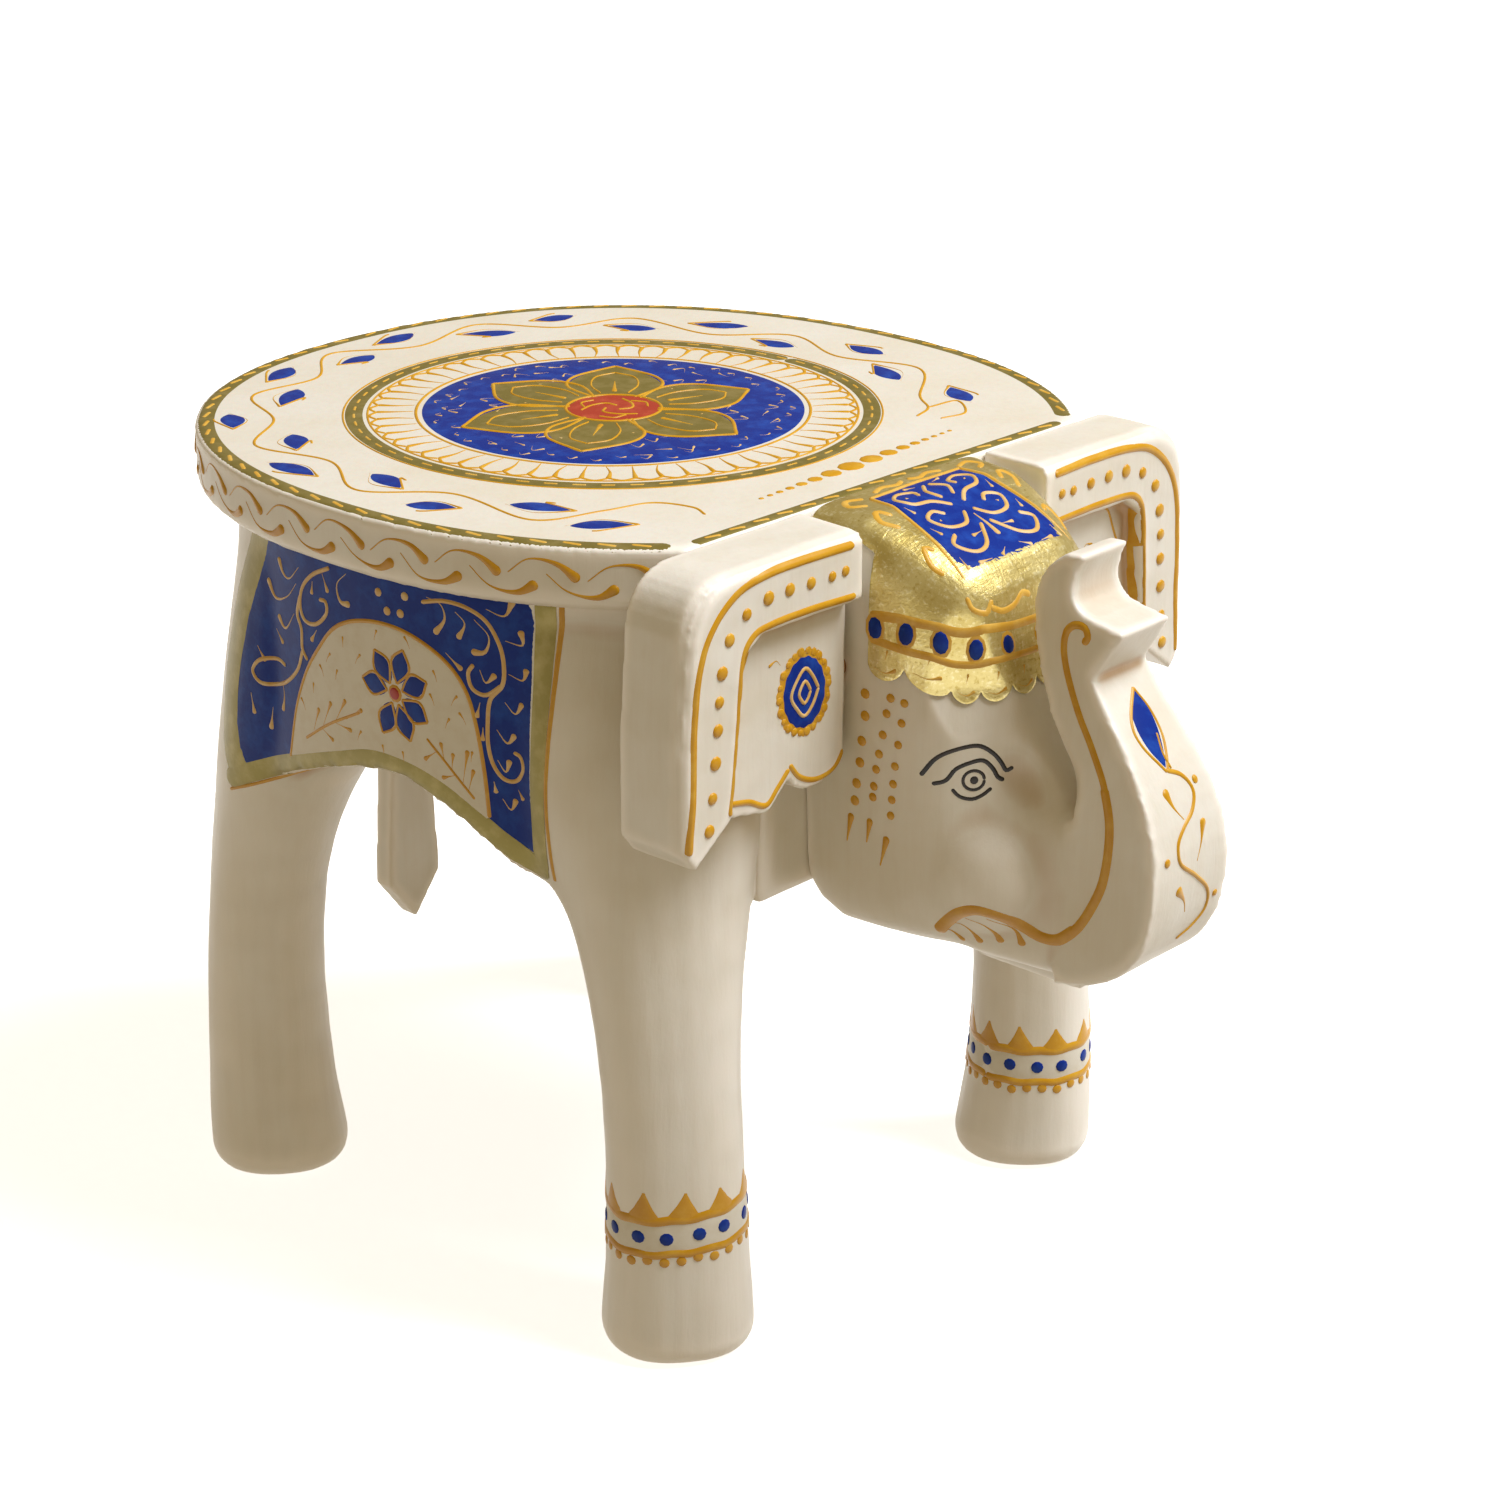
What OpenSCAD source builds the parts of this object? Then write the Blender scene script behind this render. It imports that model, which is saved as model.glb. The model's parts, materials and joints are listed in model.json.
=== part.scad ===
// Hand-carved elephant stool in painted wood: a round seat board on four elephant legs, with the
// head, trunk, ears and tail carved from separate blocks and dowelled on.
// The origin is on the floor under the middle of the whole stool, in the row's own frame:
// +Z is up, the elephant looks toward -Y, and its right side is -X.

/* [Seat] */
// Height of the seat top above the floor
seat_h = 203; // [180:1:230]
// Width of the seat across the elephant
seat_w = 208; // [180:1:240]
// Length that the seat would have if its front weren't cut straight
seat_l = 216; // [180:1:240]
// Thickness of the seat board
seat_t = 15; // [10:0.5:25]
// Distance from the seat's middle to its straight front edge
seat_cut = 84.5; // [75:0.5:95]
// Squareness of the seat outline, where 2 is an ellipse
seat_power = 2.2; // [2:0.05:2.6]
// Rounding of the seat's lower edge
seat_edge = 2; // [0.5:0.5:4]

/* [Legs] */
// Sideways place of a front foot's middle
front_x = 67.5; // [60:0.5:75]
// Forward place of a front foot's middle, from the seat's middle
front_y = 78; // [70:0.5:84]
// Sideways place of a rear foot's middle
rear_x = 72.5; // [60:0.5:80]
// Backward place of a rear foot's middle, from the seat's middle
rear_y = 65; // [55:0.5:80]
// Radius of a foot
foot_r = 18; // [14:0.5:22]
// Rounding of a foot's bottom edge
foot_edge = 5; // [1:0.5:7]
// Half the leg's thickness at its narrowest
leg_thin = 15; // [12:0.5:18]
// How far the top of a rear leg leans in from its foot
rear_lean = 18.5; // [10:0.5:25]
// How far the top of a front leg leans in from its foot
front_lean = 24.5; // [15:0.5:30]

/* [Body] */
// Half the body's width at the flanks
flank_x = 94; // [85:0.5:100]
// Half the body's length, measured on the flanks' outline
flank_y = 97; // [88:0.5:102]
// Thickness of a flank plank
flank_t = 23; // [15:0.5:28]
// Height of the belly arch's highest point
belly_z = 136; // [125:1:150]
// Drop of the belly arch from its highest point to the legs
belly_drop = 25; // [15:1:35]
// Half the length of the chest and rump boards between the flanks
board_x = 46; // [40:0.5:52]
// Thickness of the chest and rump boards
board_t = 18; // [12:0.5:22]
// Height of the chest board's lower edge
chest_z = 109; // [100:1:120]
// Height of the rump board's lower edge
rump_z = 104; // [90:1:120]
// Distance from the seat's middle to the rump board's outer face
rump_y = 88.5; // [80:0.5:94]

/* [Head] */
// Length of the head block, from the straight seat edge to the trunk's root
head_l = 62.5; // [50:0.5:75]
// Half the head's width at the cap
cap_x = 33; // [28:0.5:38]
// Half the head's width at the cheeks
cheek_x = 29.5; // [24:0.5:34]
// Height of the jaw's underside
jaw_z = 101; // [90:1:110]

/* [Trunk] */
// How far the trunk's front stands out from the seat's middle
trunk_y = 174.3; // [165:0.5:185]
// Half the trunk's width at its bulge
trunk_x = 14.6; // [10:0.2:18]
// Half the trunk's width at its tip
tip_x = 8.6; // [6:0.2:12]

/* [Ears and tail] */
// Thickness of an ear slab
ear_t = 19.5; // [12:0.5:24]
// How far an ear reaches sideways
ear_x = 92.5; // [85:0.5:100]
// Depth of the sunk panel inside an ear's raised rim
ear_sink = 5; // [2:0.5:8]
// Width of an ear's raised rim
ear_rim = 16; // [10:0.5:22]
// Width of the tail at its widest
tail_w = 18.5; // [12:0.5:26]
// Thickness of the tail
tail_t = 7; // [4:0.5:12]
// Height of the tail's pointed tip
tail_z = 37; // [25:1:60]

/* [Joinery] */
// Diameter of the wooden dowels
dowel_d = 8; // [6:0.5:10]
// Length of the wooden dowels
dowel_l = 24; // [16:1:32]
// Diameter of the two pins that hold the tail
pin_d = 5; // [3:0.5:6]
// Length of the tail pins
pin_l = 12; // [8:1:16]

/* [Hidden] */
under = seat_h - seat_t;
root_y = seat_cut + head_l;
// The whole stool runs from the trunk's front to the seat's back, and its middle is the origin.
shift_y = (trunk_y - seat_l/2)/2;
cream = "#ece4d6";
gold = "#c9b676";
bare = "#c8a274";
facets = 48;
ring_facets = 24;
cut = 200;
// The belly arch is highest a little in front of the seat's middle, and it ends at the legs.
arch_mid = -11;
arch_front = -54;
arch_rear = 54;
// Where an ear meets the cap and the cheek, and the height of its lowest tip.
ear_in = cap_x + 0.3;
ear_cheek = cheek_x + 1.6;
ear_low = 137;
// The rump dowels lie forward of their board's middle, where the flanks are wider.
rump_peg_y = rump_y - board_t + 5;

// ---- Curves -----------------------------------------------------------------------------------

function sgn_pow(v, p) = sign(v)*pow(abs(v), p);

// A rounded outline between an ellipse and a rectangle.
function oval(ax, ay, power, count) = [for (i = [0:count - 1])
    let (a = 360*i/count) [ax*sgn_pow(cos(a), 2/power), ay*sgn_pow(sin(a), 2/power)]];

// Points along a cubic curve, without its last one, so that curves chain into an outline.
function curve(p0, p1, p2, p3, count = 8) = [for (i = [0:count - 1])
    let (t = i/count, s = 1 - t) s*s*s*p0 + 3*s*s*t*p1 + 3*s*t*t*p2 + t*t*t*p3];

// A closed skin over equal rings of points, with flat ends.
module loft(rings) {
    n = len(rings[0]);
    last = len(rings) - 1;
    polyhedron(
        points = [for (ring = rings) each ring],
        faces = [[for (i = [0:n - 1]) i],
                 [for (i = [n - 1:-1:0]) last*n + i],
                 for (k = [0:last - 1]) for (i = [0:n - 1]) let (j = (i + 1)%n) each
                     [[k*n + i, (k + 1)*n + i, (k + 1)*n + j], [k*n + i, (k + 1)*n + j, k*n + j]]]);
}

module place() {
    translate([0, shift_y, 0]) children();
}

module dowel_x(x, y, z) {
    translate([x - dowel_l/2, y, z]) rotate([0, 90, 0])
        cylinder(d = dowel_d, h = dowel_l, $fn = facets);
}

module dowel_y(x, y, z, d = dowel_d, l = dowel_l) {
    translate([x, y + l/2, z]) rotate([90, 0, 0]) cylinder(d = d, h = l, $fn = facets);
}

module dowel_z(x, y, z) {
    translate([x, y, z - dowel_l/2]) cylinder(d = dowel_d, h = dowel_l, $fn = facets);
}

// ---- Dowels, and the holes that they fill -------------------------------------------------------

module seat_pegs() {
    for (side = [-1, 1]) {
        for (end = [-1, 1]) dowel_z(side*(flank_x - flank_t*0.65), end*28, under - 2);
        dowel_z(side*board_x*0.6, board_t/2 - seat_cut, under - 2);
        dowel_z(side*board_x*0.4, rump_y - board_t/2, under - 2);
    }
}

module chest_pegs(side) {
    for (z = [chest_z + 22, under - 28]) dowel_x(side*board_x, board_t/2 - seat_cut, z);
}

module rump_pegs(side) {
    for (z = [rump_z + 22, under - 28]) dowel_x(side*(board_x - 4), rump_peg_y, z);
}

module head_pegs() {
    for (side = [-1, 1]) for (z = [chest_z + 16, under - 22]) dowel_y(side*12, -seat_cut, z);
}

module trunk_pegs() {
    for (z = [jaw_z + 8, jaw_z + 28]) dowel_y(0, -root_y, z);
}

module ear_pegs(side) {
    for (z = [under - 2, under - 20]) dowel_x(side*cap_x, -seat_cut - ear_t*0.42, z);
}

module tail_pegs() {
    for (z = [rump_z + 14, rump_z + 50]) dowel_y(0, rump_y, z, pin_d, pin_l);
}

// ---- Seat -----------------------------------------------------------------------------------------

module seat_outline(inset) {
    difference() {
        polygon(oval(seat_w/2 - inset, seat_l/2 - inset, seat_power, 96));
        translate([-cut, -cut - seat_cut + inset]) square([2*cut, cut]);
    }
}

module seat_board() place() color(cream) difference() {
    union() {
        translate([0, 0, under + seat_edge]) linear_extrude(seat_t - seat_edge) seat_outline(0);
        translate([0, 0, under + seat_edge/2]) linear_extrude(seat_edge/2) seat_outline(seat_edge*0.3);
        translate([0, 0, under]) linear_extrude(seat_edge/2) seat_outline(seat_edge);
    }
    seat_pegs();
}

// ---- Flanks, each carved with its two legs from one plank ---------------------------------------

// Half the leg's thickness, measured toward the stool's middle and along the flank.
function leg_in(z) = z < 73 ? leg_thin + 3.6*pow(1 - z/73, 2)
                            : min(20, leg_thin + 3.2*pow((z - 73)/35, 2));
function leg_along(z) = z < 61 ? leg_thin + 1.5 + 2.5*pow(1 - z/61, 2)
                               : min(28, leg_thin + 1.5 + 0.0022*pow(z - 61, 2));
function foot_inset(z) =
    z < foot_edge ? foot_edge - sqrt(foot_edge*foot_edge - pow(foot_edge - z, 2)) : 0;

// One ring of a leg whose foot stands at [x, y]. Its own directions are out from the stool's middle
// and along the flank toward the other leg.
function leg_ring(x, y, lean, z) = let (
    reach = norm([x, y]),
    out = [x, y]/reach,
    turn = y < 0 ? -1 : 1,
    along = turn*[-out.y, out.x],
    r_in = leg_in(z) - foot_inset(z),
    r_along = leg_along(z) - foot_inset(z),
    middle = out*(reach + foot_r - lean*pow(z/under, 2) - leg_in(z)) + along*min(8, 0.0003*z*z))
    [for (p = oval(r_in, r_along, 2.3, ring_facets))
        let (q = middle + out*p.x + along*turn*p.y) [q.x, q.y, z]];

leg_steps = [0, 0.5, 1.5, 3, foot_edge, 20, 36, 52, 68, 82, 92, 100, 108, 116, 126, 140, 156, 172,
             under];

module leg(x, y, lean) {
    loft([for (z = leg_steps) leg_ring(x, y, lean, z)]);
}

// Height of the belly arch at a distance y along the flank.
function arch_z(y) = belly_z - belly_drop*pow(
    y < arch_mid ? (arch_mid - y)/(arch_mid - arch_front) : (y - arch_mid)/(arch_rear - arch_mid), 1.6);

module belly_arch() {
    span = arch_rear - arch_front;
    outline = [[-cut, 0], [-cut, arch_z(arch_front)],
               for (i = [0:24]) let (y = arch_front + span*i/24) [y, arch_z(y)],
               [cut, arch_z(arch_rear)], [cut, 0]];
    rotate([90, 0, 90]) translate([0, 0, -cut]) linear_extrude(2*cut) polygon(outline);
}

module plank() {
    difference() {
        translate([0, 0, rump_z]) linear_extrude(under - rump_z) difference() {
            polygon(oval(flank_x, flank_y, 2.3, 96));
            polygon(oval(flank_x - flank_t, flank_y - flank_t, 2.3, 96));
            translate([-board_x, -cut]) square([cut, 2*cut]);
            translate([-cut, -cut - seat_cut]) square([2*cut, cut]);
        }
        belly_arch();
    }
}

module chest_space() {
    translate([-board_x, -seat_cut, chest_z]) cube([2*board_x, board_t, under - chest_z]);
}

module rump_space() {
    translate([-board_x, rump_y - board_t, rump_z]) cube([2*board_x, board_t, under - rump_z]);
}

module flank() difference() {
    union() {
        plank();
        leg(-front_x, -front_y, front_lean);
        leg(-rear_x, rear_y, rear_lean);
    }
    chest_space();
    rump_space();
    translate([-cut, -cut - seat_cut, belly_z - 1]) cube([2*cut, cut, cut]);
    seat_pegs();
    chest_pegs(-1);
    rump_pegs(-1);
}

module flank_right() place() color(cream) flank();
module flank_left() place() color(cream) mirror([1, 0, 0]) flank();

module chest_board() place() color(cream) difference() {
    chest_space();
    seat_pegs();
    chest_pegs(-1);
    chest_pegs(1);
    head_pegs();
}

module rump_board() place() color(cream) difference() {
    rump_space();
    seat_pegs();
    rump_pegs(-1);
    rump_pegs(1);
    tail_pegs();
}

// ---- Head -----------------------------------------------------------------------------------------

// Each of these follows d, the distance forward from the straight seat edge.
function head_top(d) = lookup(d, [[0, seat_h], [14, seat_h], [28, seat_h - 5], [38, seat_h - 9.5],
    [42, seat_h - 15], [44, seat_h - 27], [49, seat_h - 42], [55, seat_h - 54], [head_l, seat_h - 64]]);
function head_base(d) = lookup(d, [[0, jaw_z + 7], [3, jaw_z + 3], [9, jaw_z], [40, jaw_z],
    [head_l, jaw_z - 3]]);
function head_wide(d) = lookup(d, [[0, cap_x], [24, cap_x - 2], [36, cap_x - 6], [40, cap_x - 8.5],
    [43, cap_x - 13], [46, cap_x - 17], [head_l, trunk_x - 1]]);
function head_power(d) = lookup(d, [[0, 11], [20, 8], [36, 5], [head_l, 4.5]]);
function jaw_wide(d) = lookup(d, [[0, cheek_x], [36, cheek_x], [46, cheek_x - 4], [55, cheek_x - 10],
    [head_l, trunk_x]]);

function head_ring(d) = let (
    top = head_top(d),
    base = head_base(d),
    mid = (top + base)/2,
    half = (top - base)/2)
    [for (p = oval(1, 1, head_power(d), 2*ring_facets))
        let (share = (p.y + 1)/2, wide = jaw_wide(d)*(1 - share) + head_wide(d)*share)
            [p.x*wide, -seat_cut - d, mid + half*p.y]];

module lower_lip() {
    tip = head_l - 1;
    hull() {
        translate([-16, -seat_cut - 44, jaw_z - 1]) cube([32, 2, 4]);
        translate([-2, -seat_cut - tip, jaw_z - 9]) cube([4, 1, 10]);
        translate([-8, -seat_cut - tip, jaw_z - 1]) cube([16, 1, 4]);
    }
}

module head_block() place() color(gold) difference() {
    union() {
        loft([for (d = [0, 3, 9, 14, 21, 28, 33, 36, 38, 40, 42, 43, 44, 46, 49, 52, 55, 59, head_l])
            head_ring(d)]);
        lower_lip();
    }
    head_pegs();
    trunk_pegs();
    ear_pegs(-1);
    ear_pegs(1);
}

// ---- Trunk ----------------------------------------------------------------------------------------

// Side view of the trunk as [distance forward, height]: up its back, over its tip, down its front.
module trunk_side() {
    polygon(concat(
        [[root_y, jaw_z - 3], [root_y, jaw_z + 38]],
        curve([root_y + 3.5, jaw_z + 38], [root_y + 1.5, 152], [135, 170], [133.8, 186.5], 10),
        curve([133.8, 186.5], [133.5, 193], [138, 199], [144.5, 201.5], 6),
        curve([147, 200.5], [142.5, 194], [142.5, 186], [152, 186.5], 8),
        [[158.8, 185]],
        curve([151.6, 173.2], [158, 163], [trunk_y, 149], [trunk_y, 131], 10),
        curve([trunk_y, 131], [trunk_y, 117], [trunk_y - 2.3, 102], [root_y, jaw_z - 3], 12)));
}

function trunk_half(z) = lookup(z, [[jaw_z - 3, trunk_x - 0.4], [130, trunk_x], [145, trunk_x - 1.2],
    [160, trunk_x - 3], [173, trunk_x - 4.2], [186, tip_x + 0.6], [seat_h, tip_x]]);

module trunk_front() {
    steps = [jaw_z - 10, 112, 130, 138, 145, 152, 160, 167, 173, 180, 186, seat_h];
    polygon(concat([for (z = steps) [-trunk_half(z), z]],
                   [for (i = [len(steps) - 1:-1:0]) [trunk_half(steps[i]), steps[i]]]));
}

module trunk() place() color(cream) difference() {
    intersection() {
        mirror([0, 1, 0]) rotate([90, 0, 90]) translate([0, 0, -cut/2]) linear_extrude(cut) trunk_side();
        rotate([90, 0, 0]) linear_extrude(cut) trunk_front();
    }
    trunk_pegs();
}

// ---- Ears -----------------------------------------------------------------------------------------

// Front view of the ear as [distance sideways, height]. It hangs to a tip at its outer side, and the
// sunk panel ends in a point and a lobe.
module ear_outline() {
    polygon(concat(
        [[ear_in, seat_h]],
        curve([ear_x - 17, seat_h], [ear_x - 7, seat_h],
              [ear_x - 2, seat_h - 5], [ear_x - 1.5, seat_h - 16], 8),
        [[ear_x, 165], [ear_x, ear_low + 5], [ear_x - 4, ear_low], [ear_x - ear_rim, ear_low + 9],
         [ear_x - ear_rim - 1, ear_low + 7], [59, ear_low + 4], [52, ear_low + 10]],
        curve([52, ear_low + 10], [49, ear_low + 3], [37, ear_low + 5], [ear_cheek, ear_low + 12], 8)));
}

module ear_panel() {
    polygon([[ear_cheek - 2, ear_low - 5], [ear_cheek - 2, seat_h - ear_rim],
             [ear_x - ear_rim - 10, seat_h - ear_rim], [ear_x - ear_rim - 4, seat_h - ear_rim - 4],
             [ear_x - ear_rim, ear_low + 9], [ear_x - ear_rim, ear_low - 5]]);
}

module ear(side) mirror([side < 0 ? 1 : 0, 0, 0]) difference() {
    union() {
        translate([0, -seat_cut, 0]) rotate([90, 0, 0]) linear_extrude(ear_t - 3) ear_outline();
        translate([0, -seat_cut - ear_t + 3, 0]) rotate([90, 0, 0]) linear_extrude(1.8)
            intersection() { ear_outline(); translate([-0.6, -0.6]) ear_outline(); }
        translate([0, -seat_cut - ear_t + 1.2, 0]) rotate([90, 0, 0]) linear_extrude(1.2)
            intersection() { ear_outline(); translate([-1.8, -1.8]) ear_outline(); }
    }
    translate([0, -seat_cut - ear_t + ear_sink, 0]) rotate([90, 0, 0]) linear_extrude(cut) ear_panel();
    ear_pegs(1);
}

module ear_right() place() color(cream) ear(-1);
module ear_left() place() color(cream) ear(1);

// ---- Tail -----------------------------------------------------------------------------------------

module tail() place() color(cream) difference() {
    translate([0, rump_y + tail_t, 0]) rotate([90, 0, 0]) linear_extrude(tail_t)
        polygon([[0, tail_z], [tail_w/2, tail_z + 12], [tail_w/2, tail_z + 17], [tail_w*0.38, tail_z + 50],
                 [tail_w*0.36, under - 14], [tail_w*0.2, under - 8], [-tail_w*0.2, under - 8],
                 [-tail_w*0.36, under - 14], [-tail_w*0.38, tail_z + 50], [-tail_w/2, tail_z + 17],
                 [-tail_w/2, tail_z + 12]]);
    tail_pegs();
}

// ---- Hidden joinery ---------------------------------------------------------------------------------

module seat_dowels() place() color(bare) seat_pegs();
module chest_dowels() place() color(bare) { chest_pegs(-1); chest_pegs(1); }
module rump_dowels() place() color(bare) { rump_pegs(-1); rump_pegs(1); }
module head_dowels() place() color(bare) head_pegs();
module trunk_dowels() place() color(bare) trunk_pegs();
module ear_dowels() place() color(bare) { ear_pegs(-1); ear_pegs(1); }
module tail_pins() place() color(bare) tail_pegs();

seat_board();
flank_right();
flank_left();
chest_board();
rump_board();
head_block();
trunk();
ear_right();
ear_left();
tail();
seat_dowels();
chest_dowels();
rump_dowels();
head_dowels();
trunk_dowels();
ear_dowels();
tail_pins();
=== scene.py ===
"""A hand-carved, hand-painted elephant stool: its carved wood, its brush and cone work, and its light."""

import json
import logging
import math
from collections.abc import Callable, Iterable, Sequence
from dataclasses import dataclass, field
from enum import Enum

import bmesh
import bpy
import numpy as np
from mathutils import Matrix, Vector
from mathutils.bvhtree import BVHTree


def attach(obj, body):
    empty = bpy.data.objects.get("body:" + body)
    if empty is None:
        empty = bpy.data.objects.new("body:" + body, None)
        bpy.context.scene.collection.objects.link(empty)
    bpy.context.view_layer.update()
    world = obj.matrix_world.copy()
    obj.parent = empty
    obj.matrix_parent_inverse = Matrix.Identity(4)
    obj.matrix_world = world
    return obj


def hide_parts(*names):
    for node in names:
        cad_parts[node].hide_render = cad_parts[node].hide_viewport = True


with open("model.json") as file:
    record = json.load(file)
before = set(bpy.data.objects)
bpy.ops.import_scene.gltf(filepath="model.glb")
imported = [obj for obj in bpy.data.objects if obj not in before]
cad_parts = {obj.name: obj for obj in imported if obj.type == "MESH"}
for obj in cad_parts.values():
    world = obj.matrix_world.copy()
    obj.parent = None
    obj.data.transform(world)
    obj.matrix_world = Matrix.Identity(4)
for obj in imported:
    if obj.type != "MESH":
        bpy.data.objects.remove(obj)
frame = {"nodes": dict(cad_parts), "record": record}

LOG = logging.getLogger("elephant_stool")
MM = 0.001
# How far the seat's middle lies behind the origin, in millimetres.
SEAT_MIDDLE = frame["record"]["mounts"][0]["pos_m"][1] / MM
PAINTED_SLOT, GILDED_SLOT = "painted_wood", "gilded_wood"
# The elephant's right and left, as the sign of x.
SIDES = (-1, 1)
Point = tuple[float, float]
Place = tuple[float, float, float]
Line = Sequence[Point]
Aim = Callable[[float, float], tuple[Vector, Vector]]
Socket = bpy.types.NodeSocket


# ---- Finishes ---------------------------------------------------------------------------------


def linear(hex_colour: str) -> tuple[float, float, float, float]:
    """Turn an sRGB hex colour into linear light.

    Args:
        hex_colour: Six hex digits with a leading hash.

    Returns:
        Red, green, blue and an alpha of one.
    """
    shares = [int(hex_colour[i:i + 2], 16) / 255 for i in (1, 3, 5)]
    lit = [c / 12.92 if c <= 0.04045 else ((c + 0.055) / 1.055) ** 2.4 for c in shares]
    return (lit[0], lit[1], lit[2], 1.0)


def add(tree: bpy.types.NodeTree, kind: str, links: dict | None = None, **settings: object) -> bpy.types.Node:
    """Add one shader node.

    Args:
        tree: The material's node tree.
        kind: The node's type name, without what every shader node's name starts with.
        links: For each input, by name or number, a value or another node's output.
        **settings: The node's own properties.

    Returns:
        The new node.
    """
    node = tree.nodes.new("ShaderNode" + kind)
    for name, value in settings.items():
        setattr(node, name, value)
    for socket, value in (links or {}).items():
        if isinstance(value, Socket):
            tree.links.new(value, node.inputs[socket])
        else:
            node.inputs[socket].default_value = value
    return node


class Shader:
    """A material that is being put together from nodes, all in object coordinates."""

    def __init__(self, name: str) -> None:
        """Start the material empty.

        Args:
            name: The material's name.
        """
        self.material = bpy.data.materials.new(name)
        self.material.use_nodes = True
        self.tree = self.material.node_tree
        self.tree.nodes.clear()
        self.place = add(self.tree, "TexCoord").outputs["Object"]

    def noise(self, scale: float, detail: float, roughness: float = 0.5,
              squeeze: Place | None = None) -> Socket:
        """Add a noise.

        Args:
            scale: Its scale, per metre.
            detail: Its number of finer layers.
            roughness: How strong the finer layers are.
            squeeze: How much it is drawn together along each axis.

        Returns:
            Its value's output.
        """
        place = self.place
        if squeeze:
            place = add(self.tree, "Mapping", {"Vector": place, "Scale": squeeze}).outputs[0]
        return add(self.tree, "TexNoise", {"Vector": place, "Scale": scale, "Detail": detail,
                                           "Roughness": roughness}).outputs[0]

    def maths(self, operation: str, a: Socket, b: Socket | float) -> Socket:
        """Work out one value from two.

        Args:
            operation: "ADD" or "MULTIPLY".
            a: The first value's output.
            b: The second value, or its output.

        Returns:
            The result's output.
        """
        return add(self.tree, "Math", {0: a, 1: b}, operation=operation).outputs[0]

    def mix(self, share: Socket, a: object, b: object) -> Socket:
        """Mix two colours.

        Args:
            share: How much of the second colour shows.
            a: The first colour, as an output or a hex colour.
            b: The second colour, as a hex colour.

        Returns:
            The mixed colour's output.
        """
        a, b = [linear(colour) if isinstance(colour, str) else colour for colour in (a, b)]
        return add(self.tree, "Mix", {0: share, 6: a, 7: b}, data_type="RGBA").outputs[2]

    def ramp(self, value: Socket, low: float, high: float, start: float = 0.0, end: float = 1.0) -> Socket:
        """Stretch a value.

        Args:
            value: The output to stretch.
            low: The value that gives the start.
            high: The value that gives the end.
            start: The result at the low value.
            end: The result at the high value.

        Returns:
            The stretched value's output, kept between the start and the end.
        """
        return add(self.tree, "MapRange", {"Value": value, "From Min": low, "From Max": high, "To Min": start,
                                           "To Max": end}).outputs["Result"]

    def close(self, colour: Socket, roughness: Socket | float, height: Socket, strength: float,
              depth_mm: float, more: dict | None = None) -> bpy.types.Material:
        """Close the material with its surface.

        Args:
            colour: Its colour.
            roughness: Its roughness.
            height: The height of its fine relief.
            strength: How strongly the relief shows.
            depth_mm: The relief's depth, in millimetres.
            more: More inputs of the surface, by name.

        Returns:
            The finished material.
        """
        relief = add(self.tree, "Bump", {"Strength": strength, "Distance": depth_mm * MM, "Height": height})
        surface = add(self.tree, "BsdfPrincipled", {"Base Color": colour, "Roughness": roughness,
                                                    "Normal": relief.outputs[0], **(more or {})})
        add(self.tree, "OutputMaterial", {"Surface": surface.outputs[0]})
        return self.material


@dataclass(frozen=True)
class CarvedPaint:
    """Cream emulsion under a thin satin varnish, brushed on carved mango wood.

    The brush leaves faint streaks along the grain in a brown tint. The hollows are darkened toward that brown
    as painted shade, and the proud edges are lightened as a painted highlight.
    """

    name: str = "cream_satin_paint"
    body: str = "#E6E2D8"
    warm: str = "#DFD8C8"
    # Painted shade: the brown that darkens the hollows; it also tints the brush streaks.
    hollow: str = "#B99466"
    # Painted highlight: the lighter cream laid on the proud edges.
    proud_edge_highlight: str = "#F4EEE4"
    roughness: float = 0.46
    streak_mm: float = 0.9
    streak_share: float = 0.07

    def build(self) -> bpy.types.Material:
        """Return the material."""
        shader = Shader(self.name)
        cloud = shader.noise(32.0, 4.0, 0.55)
        grain = shader.noise(1 / (self.streak_mm * MM * 2.2), 3.0, 0.6, squeeze=(1.0, 1.0, 0.09))
        grit = shader.noise(900.0, 2.0)
        hollow = add(shader.tree, "Attribute", attribute_name="hollow").outputs["Fac"]
        streaks = shader.ramp(grain, 0.42, 0.75)
        colour = shader.mix(shader.ramp(cloud, 0.38, 0.66), self.body, self.warm)
        colour = shader.mix(shader.maths("MULTIPLY", streaks, self.streak_share), colour, self.hollow)
        # Painted shade: the hollows are darkened toward the brown.
        colour = shader.mix(shader.ramp(hollow, 0.05, 0.9), colour, self.hollow)
        # Painted highlight: the proud edges are lightened.
        colour = shader.mix(shader.ramp(hollow, -0.08, -0.8), colour, self.proud_edge_highlight)
        sheen = shader.ramp(cloud, 0.3, 0.7, self.roughness - 0.06, self.roughness + 0.08)
        return shader.close(colour, sheen, shader.maths("ADD", streaks, grit), 0.16, 0.2,
                            {"IOR": 1.48, "Coat Weight": 0.22, "Coat Roughness": 0.34,
                             "Subsurface Weight": 0.04, "Subsurface Scale": 0.002})


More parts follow.
